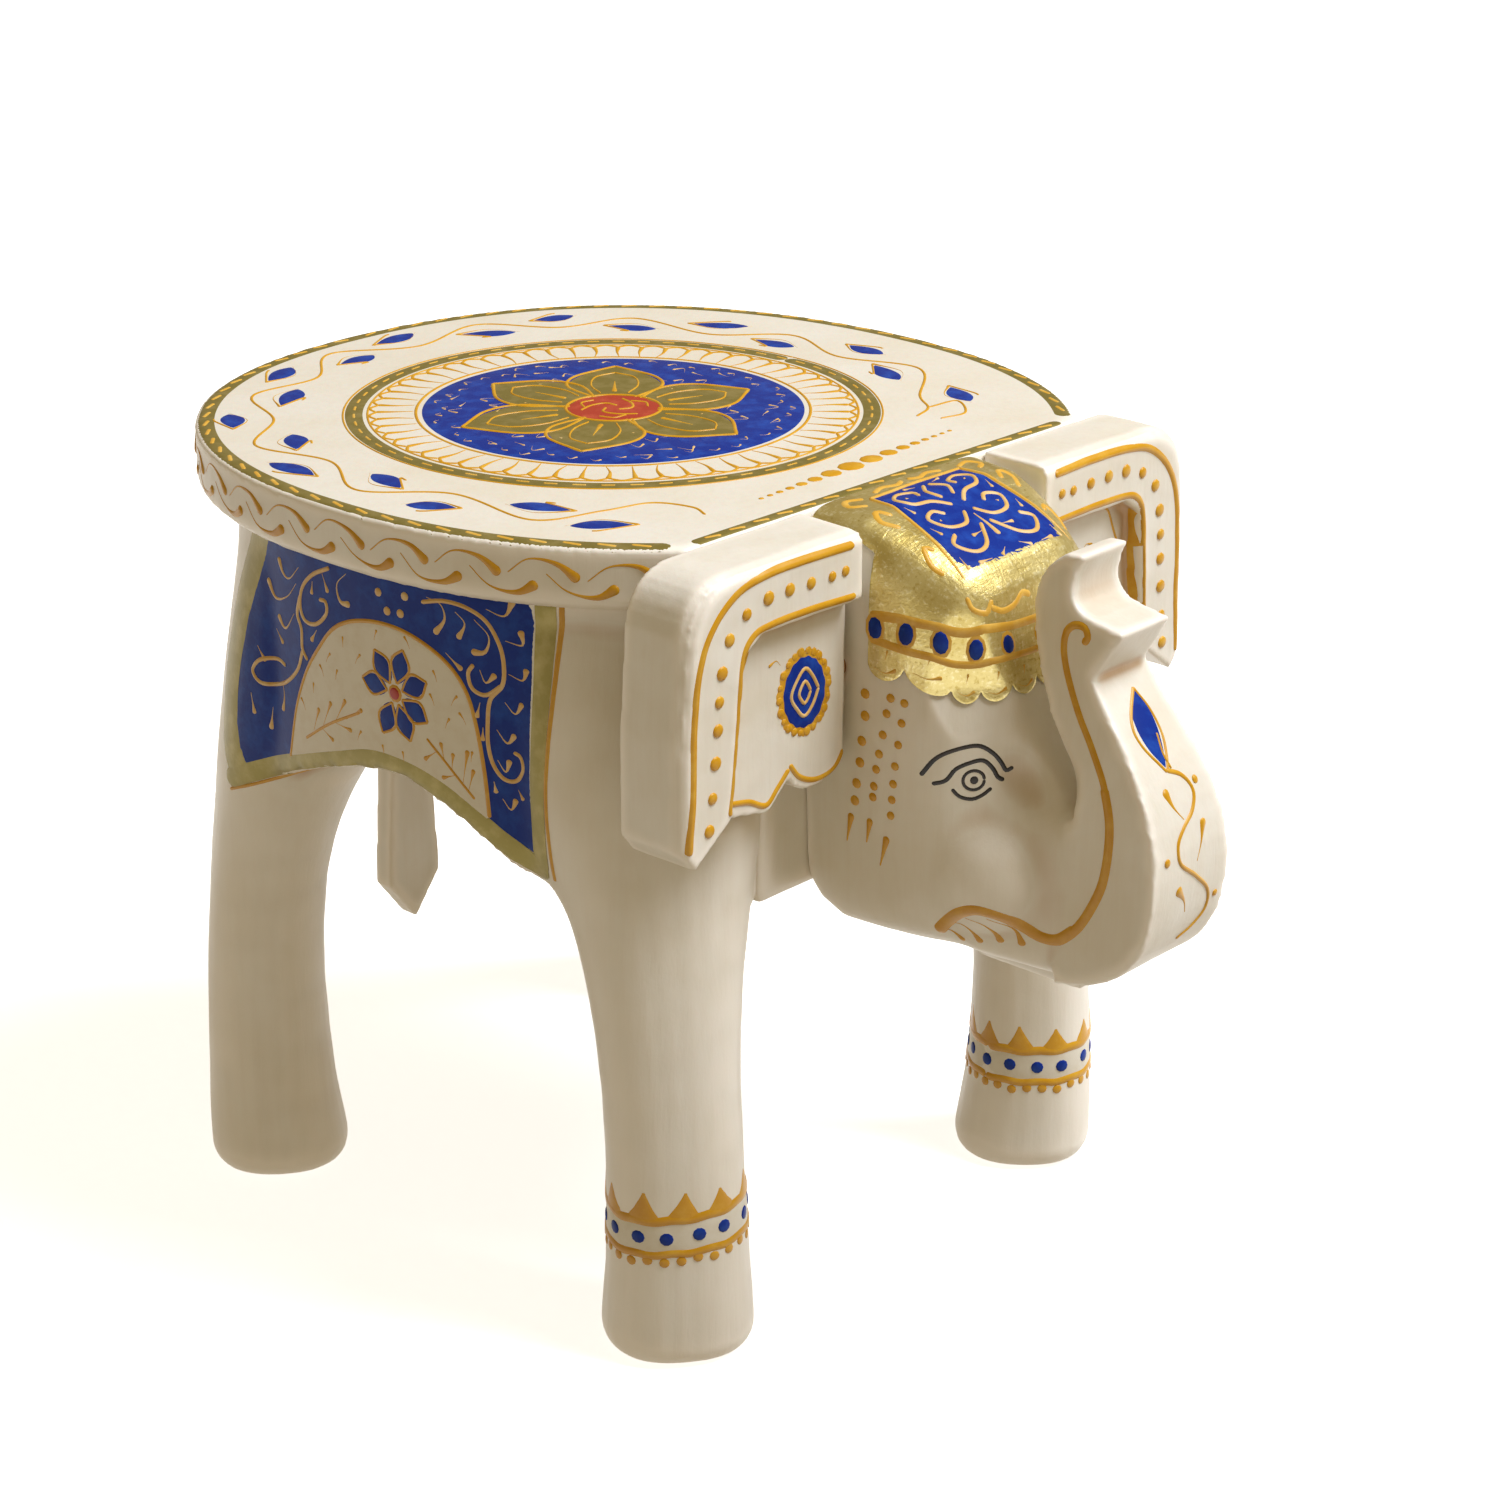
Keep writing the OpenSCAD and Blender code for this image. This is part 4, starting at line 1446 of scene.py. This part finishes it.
@dataclass(frozen=True)
class Dome:
    """A drawing sheet wrapped over the crown of the head, which looks at one point inside it.

    The sheet is flat at the top and runs down the forehead and the temples. Looks start above the crown,
    beyond the temples, and in front of the forehead from the gap behind the trunk.
    """

    middle: Place = (0.0, -103.0, 150.0)
    scale_mm: float = 36.0
    above_z: float = 212.0
    beyond_x: float = 39.0
    gap_y: float = -133.3

    def flat(self, x: float, y: float, z: float) -> Point:
        """Return where a place on the head lies on the sheet."""
        dx, dy, dz = x - self.middle[0], y - self.middle[1], z - self.middle[2]
        around, down = math.atan2(dy, dx), math.atan2(math.hypot(dx, dy), dz)
        return (self.scale_mm * down * math.cos(around), self.scale_mm * down * math.sin(around))

    def lay(self, line: Iterable[Place], flip: int = 1) -> list[Point]:
        """Return where a line on the head lies on the sheet, mirrored if the flip is -1."""
        return [self.flat(x * flip, y, z) for x, y, z in line]

    def aim(self, u: float, v: float) -> tuple[Vector, Vector]:
        """Look toward the middle."""
        around, down = math.atan2(v, u), math.hypot(u, v) / self.scale_mm
        out = Vector((math.sin(down) * math.cos(around), math.sin(down) * math.sin(around), math.cos(down)))
        reach = (self.above_z - self.middle[2]) / max(out.z, 0.01)
        if out.x:
            reach = min(reach, self.beyond_x / abs(out.x))
        if out.y < 0:
            reach = min(reach, (self.gap_y - self.middle[1]) / out.y)
        return stool(*self.middle) + out * reach * MM, -out


@dataclass
class HeadPaint:
    """The gold cap with its blue panel, the eyes, the cheek dots, and the scrolls on jaw and trunk."""

    SLANT = math.sqrt(0.5)
    ABOVE_MM, BESIDE_MM, BEFORE_MM = 215.0, -60.0, -190.0
    SCALLOP_STEPS, SCALLOP_MM = 12, 3.4

    film_mm: float = 0.8
    cap_top: tuple[Place, ...] = ((-0.5, -85.3, 203), (-16, -85.3, 203), (-31.8, -85.3, 203),
                                  (-31.9, -92, 203), (-32, -98, 202.6), (-32, -104, 201), (-32, -104.2, 195),
                                  (-32, -104.2, 184), (-32, -104.2, 176))
    cusps: tuple[Place, ...] = ((-32, -104.2, 171), (-29.6, -113.5, 171), (-25.5, -124, 168),
                                (-20, -128.7, 167.5), (-12.5, -131.3, 167.5), (-4.5, -131.6, 167.5),
                                (4.5, -131.6, 167.5))
    band_lines: tuple[tuple[Place, ...], ...] = (
        ((-31.5, -104.5, 182.4), (-29.5, -111, 182.4), (-27.5, -117, 182), (-24.5, -123, 181.5),
         (-19.5, -126.5, 181), (-11.5, -128, 180.2), (-4, -128.3, 179.8)),
        ((-31, -104.5, 176.6), (-30, -110.5, 175.8), (-28.5, -115.5, 175), (-26.5, -121, 174.6),
         (-24, -124.8, 174.2), (-19, -127.8, 173.6), (-12, -129, 173), (-4, -129.3, 172.6)),
    )
    beads: tuple[Place, ...] = ((-31, -106, 179.3), (-29, -113.5, 179), (-26, -121, 178.2),
                                (-20.5, -127, 177.2), (-11.5, -129, 176.3), (0, -129, 176))
    cap_scrolls: tuple[tuple[Place, ...], ...] = (
        ((-16, -127.2, 186), (-12, -127.5, 184), (-8, -127.8, 185), (-5, -127.5, 187), (-2, -127, 185)),
        ((-21, -124, 189), (-20, -125, 185.5), (-17, -126.4, 184), (-15, -126.5, 187)),
        ((-23, -119, 194.5), (-24, -116, 196), (-22, -112, 198.2), (-20.5, -114, 198)),
        ((-22, -105, 202), (-24.5, -101, 203), (-22, -98, 203), (-20, -101, 203)),
        ((-20, -94, 203), (-23.5, -91.5, 203), (-21.5, -88.5, 203), (-17, -90, 203)),
        ((-12, -89, 203), (-8, -87.6, 203), (-4, -89, 203), (-1, -87.8, 203)),
    )
    panel_scrolls: tuple[Line, ...] = (
        ((2, -104), (6, -101), (11.5, -100), (13.5, -96.5), (10.5, -94), (6.5, -95.5), (6.8, -98)),
        ((1.5, -107), (5, -110.5), (10.5, -110), (13, -106), (9.5, -104), (7, -106)),
        ((1.5, -112), (6, -117.5), (11, -118.5), (14.5, -115), (11.5, -112.5)),
        ((0.8, -94), (3.5, -97.5), (2, -101)),
    )
    panel_commas: tuple[Line, ...] = (
        ((3, -93.5), (6.5, -92.6)), ((14.8, -100), (14, -103)), ((15.5, -108.5), (14.5, -111.5)),
        ((9, -121.6), (13.5, -121.3)), ((16.5, -118), (17, -121.5)), ((3.5, -114), (7.5, -114.4)),
        ((2.5, -120), (5.5, -121.8)), ((10, -97.5), (10.8, -97)), ((10, -107), (10.6, -107.6)),
    )
    dot_columns: tuple[tuple[float, Line, Line], ...] = (
        (2.7, ((-103, 163), (-103, 157.5), (-102, 151), (-101.5, 145.5), (-100.5, 140), (-100, 135.5)),
         ((-97.6, 124.5), (-99, 132))),
        (2.3, ((-110, 163.5), (-109, 159.5), (-108, 154), (-107, 149), (-106.2, 145), (-105.6, 140.6),
               (-105.3, 137.8)), ((-103.6, 125.8), (-104.6, 132.2))),
        (2.2, ((-113.6, 163), (-113, 158), (-112.2, 152.5), (-111.4, 147), (-111, 142.5), (-110.7, 138.5),
               (-110.5, 134.5)), ((-107.6, 121), (-109.6, 129))),
    )
    curl: Line = ((-121.5, 107), (-125, 111), (-129.4, 114.8), (-133.8, 116.6), (-137.8, 115.4),
                  (-141, 111.8), (-144.5, 109.5), (-148.5, 109.8), (-153.5, 114), (-157.5, 120.5),
                  (-160.5, 128), (-161.2, 136), (-160.6, 143), (-158.3, 150), (-154, 157.5), (-150, 163.5),
                  (-147, 168.8), (-144.7, 173.8), (-143.4, 178.6), (-143.8, 182.6), (-146, 184.6),
                  (-148.6, 184.4), (-149.6, 182.4), (-148.4, 180.8))
    jaw_commas: tuple[Line, ...] = (
        ((-122.4, 108), (-125.2, 108.2), (-127.6, 105.6)), ((-125.4, 110.8), (-129.2, 110.8), (-131.8, 106)),
        ((-130.4, 113.6), (-134.2, 112), (-136.2, 106.8)), ((-135.4, 114.4), (-139, 111.4), (-140.6, 106.6)),
    )
    lids: tuple[tuple[Line, float], ...] = (
        (((0, 146.3), (3.2, 151), (7.4, 153.4), (12.7, 154.2), (16.3, 152.2), (18.4, 149.6), (19.6, 147.6),
          (21.3, 148.2)), 1.2),
        (((2.5, 144.8), (5.6, 146), (7.8, 148.8), (11, 150.2), (14.1, 150.6), (16.3, 148.6), (17.7, 146.2),
          (19.2, 145.4)), 1.2),
        (((7, 144), (8.8, 142.2), (11.7, 141.5), (14.1, 142.4), (16.2, 144)), 1.05),
    )
    trunk_lines: tuple[tuple[Line, float, float], ...] = (
        (((1.6, 169), (-4.6, 163.4), (-5.2, 159), (-1.2, 152.6)), 0.9, 0.3),
        (((1.6, 169), (3.4, 164), (2.8, 158.6), (-0.8, 152.6)), 0.8, 0.28),
        (((-1.2, 153), (3, 151), (5, 147.5), (2.8, 143.6), (-1.8, 140.6), (-4.8, 137.3), (-4, 133),
          (2, 128.4), (7.2, 123.4), (8, 118.4), (5, 114.6), (0.5, 112)), 1.15, 0.35),
    )
    trunk_leaves: tuple[tuple[Line, float, float], ...] = (
        (((-0.8, 142.3), (-3.4, 145.8), (-4.6, 149.8)), 3.4, 0.4),
        (((2.2, 131.8), (4, 136), (5.8, 141)), 3.0, 0.4),
        (((-0.4, 119.8), (-1.6, 123.2), (-5, 127.2)), 3.8, 0.45),
    )

    def build(self, head: bpy.types.Object, finishes: Finishes, gold: bpy.types.Material) -> None:
        """Paint the head and the trunk.

        Args:
            head: The carved head and trunk.
            finishes: The material of each colour.
            gold: The cap's material.
        """
        dome = Dome()
        wrap = Canvas(head, dome.aim)
        self.cap(head, dome, wrap).build(gold)
        deco = Decoration(head, "cap_paint", GILDED_SLOT)
        self.band(deco, dome, wrap)
        self.panel(deco, Canvas(head, flat_aim("down", self.ABOVE_MM)))
        deco.build(finishes)
        for side in SIDES:
            face = Decoration(head, f"face_{side_name(side)}_paint")
            self.cheek(face, Canvas(head, flat_aim("side", self.BESIDE_MM), side))
            self.eye(face, Canvas(head, self.eye_aim, side))
            face.build(finishes)
        trunk = Decoration(head, "trunk_front_paint")
        self.trunk_front(trunk, Canvas(head, flat_aim("back", self.BEFORE_MM)))
        trunk.build(finishes)

    def eye_aim(self, u: float, v: float) -> tuple[Vector, Vector]:
        """Look squarely at the corner of the brow."""
        run = u * self.SLANT
        return stool(-48.5 + run, -138.0 - run, v), Vector((self.SLANT, self.SLANT, 0.0))

    def scallops(self) -> list[Place]:
        """Return the cap's lower edge over the right temple to the middle of the forehead."""
        edge = []
        for a, b in zip(self.cusps, self.cusps[1:]):
            for k in range(self.SCALLOP_STEPS):
                t = k / self.SCALLOP_STEPS
                x, y, z = (p + (q - p) * t for p, q in zip(a, b))
                edge.append((x, y, z - self.SCALLOP_MM * math.sin(math.pi * t) ** 0.6))
        return edge[:-6] + [(0.0, -131.8, 164.1)]

    def cap(self, head: bpy.types.Object, dome: Dome, wrap: Canvas) -> Paintwork:
        """Lay the thick gold film of the cap.

        Args:
            head: The carved head.
            dome: The sheet over the crown.
            wrap: Its canvas.

        Returns:
            The cap's paintwork.
        """
        half = [*self.cap_top, *self.scallops()]
        corners = np.array(dome.lay(half + mirrored(reversed(half[:-1])) + half[:1]))
        run = run_along(corners)

        def edge(turn: float) -> Point:
            u, v = along_line(run, run[-1] * turn / (2 * math.pi), corners)
            return (float(u), float(v))

        film = Paintwork("cap_gold_film", head, GILDED_SLOT)
        rings = [*np.linspace(0.03, 0.95, 40), 0.975, 0.99]
        film.patch(wrap, edge, (0.0, 0.0), self.film_mm, count=400, rings=rings)
        return film

    def band(self, deco: Decoration, dome: Dome, wrap: Canvas) -> None:
        """Paint the band of blue dots, the strokes in the scallops and the scrolls above."""
        yellow, blue = deco.of(Colour.GOLD, Colour.BLUE)
        base = self.film_mm
        for line in self.band_lines:
            yellow.stroke(wrap, dome.lay([*line, *mirrored(reversed(line))]), 1.5, base=base, rise=0.35)
        for x, y, z in self.beads:
            for flip in ((1, -1) if x else (1,)):
                u, v = dome.flat(x * flip, y, z)
                yellow.dot(wrap, u, v, 5.2, 0.15, base=base)
                blue.dot(wrap, u, v, 3.6, 0.5, base=base + 0.1)
        for a, b in zip(self.cusps, self.cusps[1:]):
            arc = [(t, 1.0 - 2.6 * math.sin(math.pi * t)) for t in (0.2, 0.5, 0.8)]
            spots = [*arc, (0.5, 1.5), (0.56, 4.0)]
            marks = [(a[0] + (b[0] - a[0]) * t, a[1] + (b[1] - a[1]) * t, a[2] + up) for t, up in spots]
            for flip in (1, -1):
                pair = (dome.lay(marks[:3], flip), dome.lay(marks[3:], flip))
                yellow.strokes(wrap, pair, 1.1, Tip.COMMA, base=base)
        for flip in (1, -1):
            yellow.strokes(wrap, (dome.lay(line, flip) for line in self.cap_scrolls), 1.0, base=base,
                           rise=0.25)

    def panel(self, deco: Decoration, top: Canvas) -> None:
        """Paint the blue panel on the crown, with its pale scrolls."""
        blue, pale, yellow = deco.of(Colour.BLUE, Colour.PALE, Colour.GOLD)
        base, ground = self.film_mm, self.film_mm + 0.12
        blue_side = ((-15.5, -91.5), (-17, -107), (-19, -123.4))
        blue.film(top, blue_side, mirrored(blue_side), ground, rows=34, columns=36)
        frame_side = ((-16.2, -91), (-17.8, -107), (-19.7, -124))
        frame_ends = (((-19.7, -124), (0, -124.4), (19.7, -124)), ((-16.2, -91), (0, -90.8), (16.2, -91)))
        yellow.strokes(top, (frame_side, mirrored(frame_side), *frame_ends), 1.0, base=base, rise=0.35)
        for turned in (mirrored, list):
            pale.strokes(top, map(turned, self.panel_scrolls), 1.15, base=ground)
            pale.strokes(top, map(turned, self.panel_commas), 1.5, Tip.COMMA, base=ground)
        pale.stroke(top, [(0, -108.5), (0, -116.5)], 1.8, Tip.DROP, base=ground)

    def cheek(self, face: Decoration, canvas: Canvas) -> None:
        """Paint the three columns of dots and the curling line from the jaw up the trunk."""
        (ochre,) = face.of(Colour.OCHRE)
        for size, dots, drop in self.dot_columns:
            for u, v in dots:
                ochre.dot(canvas, u, v, size, 0.5)
            ochre.stroke(canvas, drop, 2.4, Tip.DROP, rise=0.45)
        ochre.stroke(canvas, self.curl[:9], 3.0, rise=0.5)
        ochre.stroke(canvas, self.curl[7:14], 2.6, rise=0.5)
        ochre.stroke(canvas, self.curl[12:], 2.0, rise=0.45)
        ochre.strokes(canvas, self.jaw_commas, 2.2, Tip.COMMA, rise=0.45)

    def eye(self, face: Decoration, canvas: Canvas) -> None:
        """Paint the brow lines, the lid, and the ringed iris."""
        (dark,) = face.of(Colour.DARK)
        for line, width in self.lids:
            dark.stroke(canvas, line, width, rise=0.14)
        ring = [(12 + 2.5 * math.cos(t), 146 + 2.3 * math.sin(t)) for t in np.radians(np.arange(0, 361, 30))]
        dark.stroke(canvas, ring, 0.9, rise=0.14)
        dark.dot(canvas, 12.1, 146.0, 2.1, 0.2)

    def trunk_front(self, trunk: Decoration, canvas: Canvas) -> None:
        """Paint the blue bud and its vine down the front of the trunk."""
        ochre, blue = trunk.of(Colour.OCHRE, Colour.BLUE)
        blue.stroke(canvas, [(1.6, 168.6), (-0.8, 161), (-1.0, 153.4)], 7.6, Tip.LEAF, rise=0.16, across=4)
        ochre.stroke(canvas, [(1.4, 160), (0.2, 156), (0.6, 153)], 0.6, base=0.1, rise=0.25)
        for tip, lines in ((Tip.EVEN, self.trunk_lines), (Tip.COMMA, self.trunk_leaves)):
            for line, width, rise in lines:
                ochre.stroke(canvas, line, width, tip, rise)
        for u, v, size in ((6.8, 149.2, 1.9), (-9.2, 134.8, 2.2), (10.6, 121.2, 1.9)):
            ochre.dot(canvas, u, v, size)


# ---- The elephant -----------------------------------------------------------------------------


@dataclass
class Elephant:
    """The whole stool: its carved blocks, its hidden dowels, and its paintwork."""

    blocks: tuple[CarvedBlock, ...] = (
        CarvedBlock("carved_seat_board", ("seat_board",), grain_mm=1.1, facet_mm=0.25, facet_size_mm=40.0,
                    soften=2),
        FlankBlock("carved_flank_right", ("flank_right",), grain_mm=1.3, soften=6),
        FlankBlock("carved_flank_left", ("flank_left",), grain_mm=1.3, soften=6),
        CarvedBlock("carved_chest_board", ("chest_board",), grain_mm=1.4),
        CarvedBlock("carved_rump_board", ("rump_board",), grain_mm=1.4),
        HeadBlock("carved_head_and_trunk", ("head_block", "trunk"), grain_mm=0.8, facet_mm=0.4,
                  facet_size_mm=15.0, soften=3),
        *(CarvedBlock(f"carved_ear_{side}", (f"ear_{side}",), grain_mm=0.8, facet_mm=0.6, facet_size_mm=14.0,
                      soften=1) for side in ("right", "left")),
        CarvedBlock("carved_tail", ("tail",), grain_mm=0.8, soften=3),
    )
    paints: tuple[BrushPaint, ...] = (
        BrushPaint(Colour.OCHRE.value, "#CC9512", "#D6A632", roughness=0.36),
        BrushPaint(Colour.BLUE.value, "#082C8A", "#1A48A8", speckle_mm=2.6, shine=0.12),
        BrushPaint(Colour.OLIVE.value, "#84773A", "#9A8B54", metallic=0.35),
        BrushPaint(Colour.RED.value, "#A83524", "#BC5038", roughness=0.45),
        BrushPaint(Colour.PALE.value, "#D9AE62", "#E6C890"),
        BrushPaint(Colour.CREAM.value, "#E4DFD2", "#DDD5C4", roughness=0.45),
        BrushPaint(Colour.DARK.value, "#1E1915", "#332B24"),
        BrushPaint(Colour.GOLD.value, "#D8A63A", "#E2B95A", roughness=0.36),
    )

    def build(self) -> None:
        """Carve every block, paint it, and dress the dowels."""
        cream = CarvedPaint().build()
        finishes = {Colour(paint.name): paint.build() for paint in self.paints}
        carved = {block.nodes[0]: block.build(cream) for block in self.blocks}
        SeatPaint().build(carved["seat_board"], finishes)
        HeadPaint().build(carved["head_block"], finishes, GoldLeafPaint().build())
        for painter, part in ((EarPaint, "ear"), (FlankPaint, "flank")):
            for side in SIDES:
                painter(side).build(carved[f"{part}_{side_name(side)}"], finishes)
        wood = TurnedWood().build()
        for name, node in frame["nodes"].items():
            if name.endswith(("dowels", "pins")):
                node.data.materials.clear()
                node.data.materials.append(wood)


# ---- Studio -----------------------------------------------------------------------------------


@dataclass(frozen=True)
class StudioPaper:
    """Matt white background paper, with a faint tooth."""

    name: str = "matt_studio_paper"
    body: str = "#FBFAF8"
    tooth: str = "#F6F4F0"
    glow: float = 0.74

    def build(self) -> bpy.types.Material:
        """Return the material."""
        shader = Shader(self.name)
        tooth = shader.noise(300.0, 3.0)
        colour = shader.mix(shader.ramp(tooth, 0.4, 0.7), self.body, self.tooth)
        return shader.close(colour, 0.9, tooth, 0.05, 0.3,
                            {"Emission Color": linear("#FFFFFF"), "Emission Strength": self.glow})


@dataclass
class Studio:
    """A white paper floor, one large soft key light, an even fill, and the camera."""

    FLOOR_M, SENSOR_MM = 14.0, 36.0
    NEAR_M, FAR_M = 0.02, 60.0

    aim: Place = (42.2, -0.7, 100.0)
    azimuth: float = -47.59
    elevation: float = 21.73
    distance_mm: float = 912.8
    roll: float = 0.25
    lens: float = 81.26

    def build_floor(self) -> None:
        """Lay the paper on which the stool stands."""
        bpy.ops.object.select_all(action="DESELECT")
        bpy.ops.mesh.primitive_plane_add(size=self.FLOOR_M)
        floor = bpy.context.view_layer.objects.active
        floor.name = "studio_floor"
        floor.data.materials.append(StudioPaper().build())
        # The paper lights the stool only through the room's own even fill, as a far white sweep does.
        floor.visible_diffuse = False

    def build_camera(self) -> None:
        """Set the camera up in front of the elephant's right shoulder."""
        turn, lift = math.radians(self.azimuth), math.radians(self.elevation)
        back = Vector((math.sin(turn) * math.cos(lift), -math.cos(turn) * math.cos(lift), math.sin(lift)))
        data = bpy.data.cameras.new("studio_camera")
        data.lens, data.sensor_width = self.lens, self.SENSOR_MM
        data.clip_start, data.clip_end = self.NEAR_M, self.FAR_M
        camera = bpy.data.objects.new("studio_camera", data)
        bpy.context.scene.collection.objects.link(camera)
        camera.matrix_world = (Matrix.Translation(stool(*self.aim) + back * self.distance_mm * MM)
                               @ back.to_track_quat("Z", "Y").to_matrix().to_4x4()
                               @ Matrix.Rotation(math.radians(self.roll), 4, "Z"))
        bpy.context.scene.camera = camera

    def build_light(self, name: str, place: Place, size: float, watts: float, colour: str) -> None:
        """Hang one softbox that faces the stool.

        Args:
            name: The lamp's name.
            place: Where it hangs, in metres.
            size: The side of its square face, in metres.
            watts: Its power.
            colour: Its sRGB hex colour.
        """
        data = bpy.data.lights.new(name, "AREA")
        data.energy, data.size = watts, size
        data.color = linear(colour)[:3]
        lamp = bpy.data.objects.new(name, data)
        bpy.context.scene.collection.objects.link(lamp)
        lamp.location = place
        lamp.rotation_euler = (Vector((0.0, 0.0, 0.1)) - Vector(place)).to_track_quat("-Z", "Y").to_euler()

    def build_world(self, colour: str, strength: float) -> None:
        """Fill the room with even light.

        Args:
            colour: Its sRGB hex colour.
            strength: Its strength.
        """
        world = bpy.data.worlds.new("studio_room")
        world.use_nodes = True
        world.node_tree.nodes.clear()
        room = add(world.node_tree, "Background", {"Color": linear(colour), "Strength": strength})
        add(world.node_tree, "OutputWorld", {"Surface": room.outputs[0]})
        bpy.context.scene.world = world

    def build(self) -> None:
        """Build the floor, the lights and the camera."""
        self.build_floor()
        self.build_camera()
        self.build_world("#FFE7BA", 0.355)
        self.build_light("key_softbox", (0.83, -1.19, 2.25), 1.2, 83.0, "#F6F9FF")
        bpy.context.scene.view_settings.view_transform = "Standard"


# ---- The whole job ----------------------------------------------------------------------------


def main() -> None:
    """Build the stool, its paintwork and the studio."""
    logging.basicConfig(level=logging.INFO, format="%(message)s")
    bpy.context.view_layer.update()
    Elephant().build()
    Studio().build()


if __name__ == "__main__":
    main()
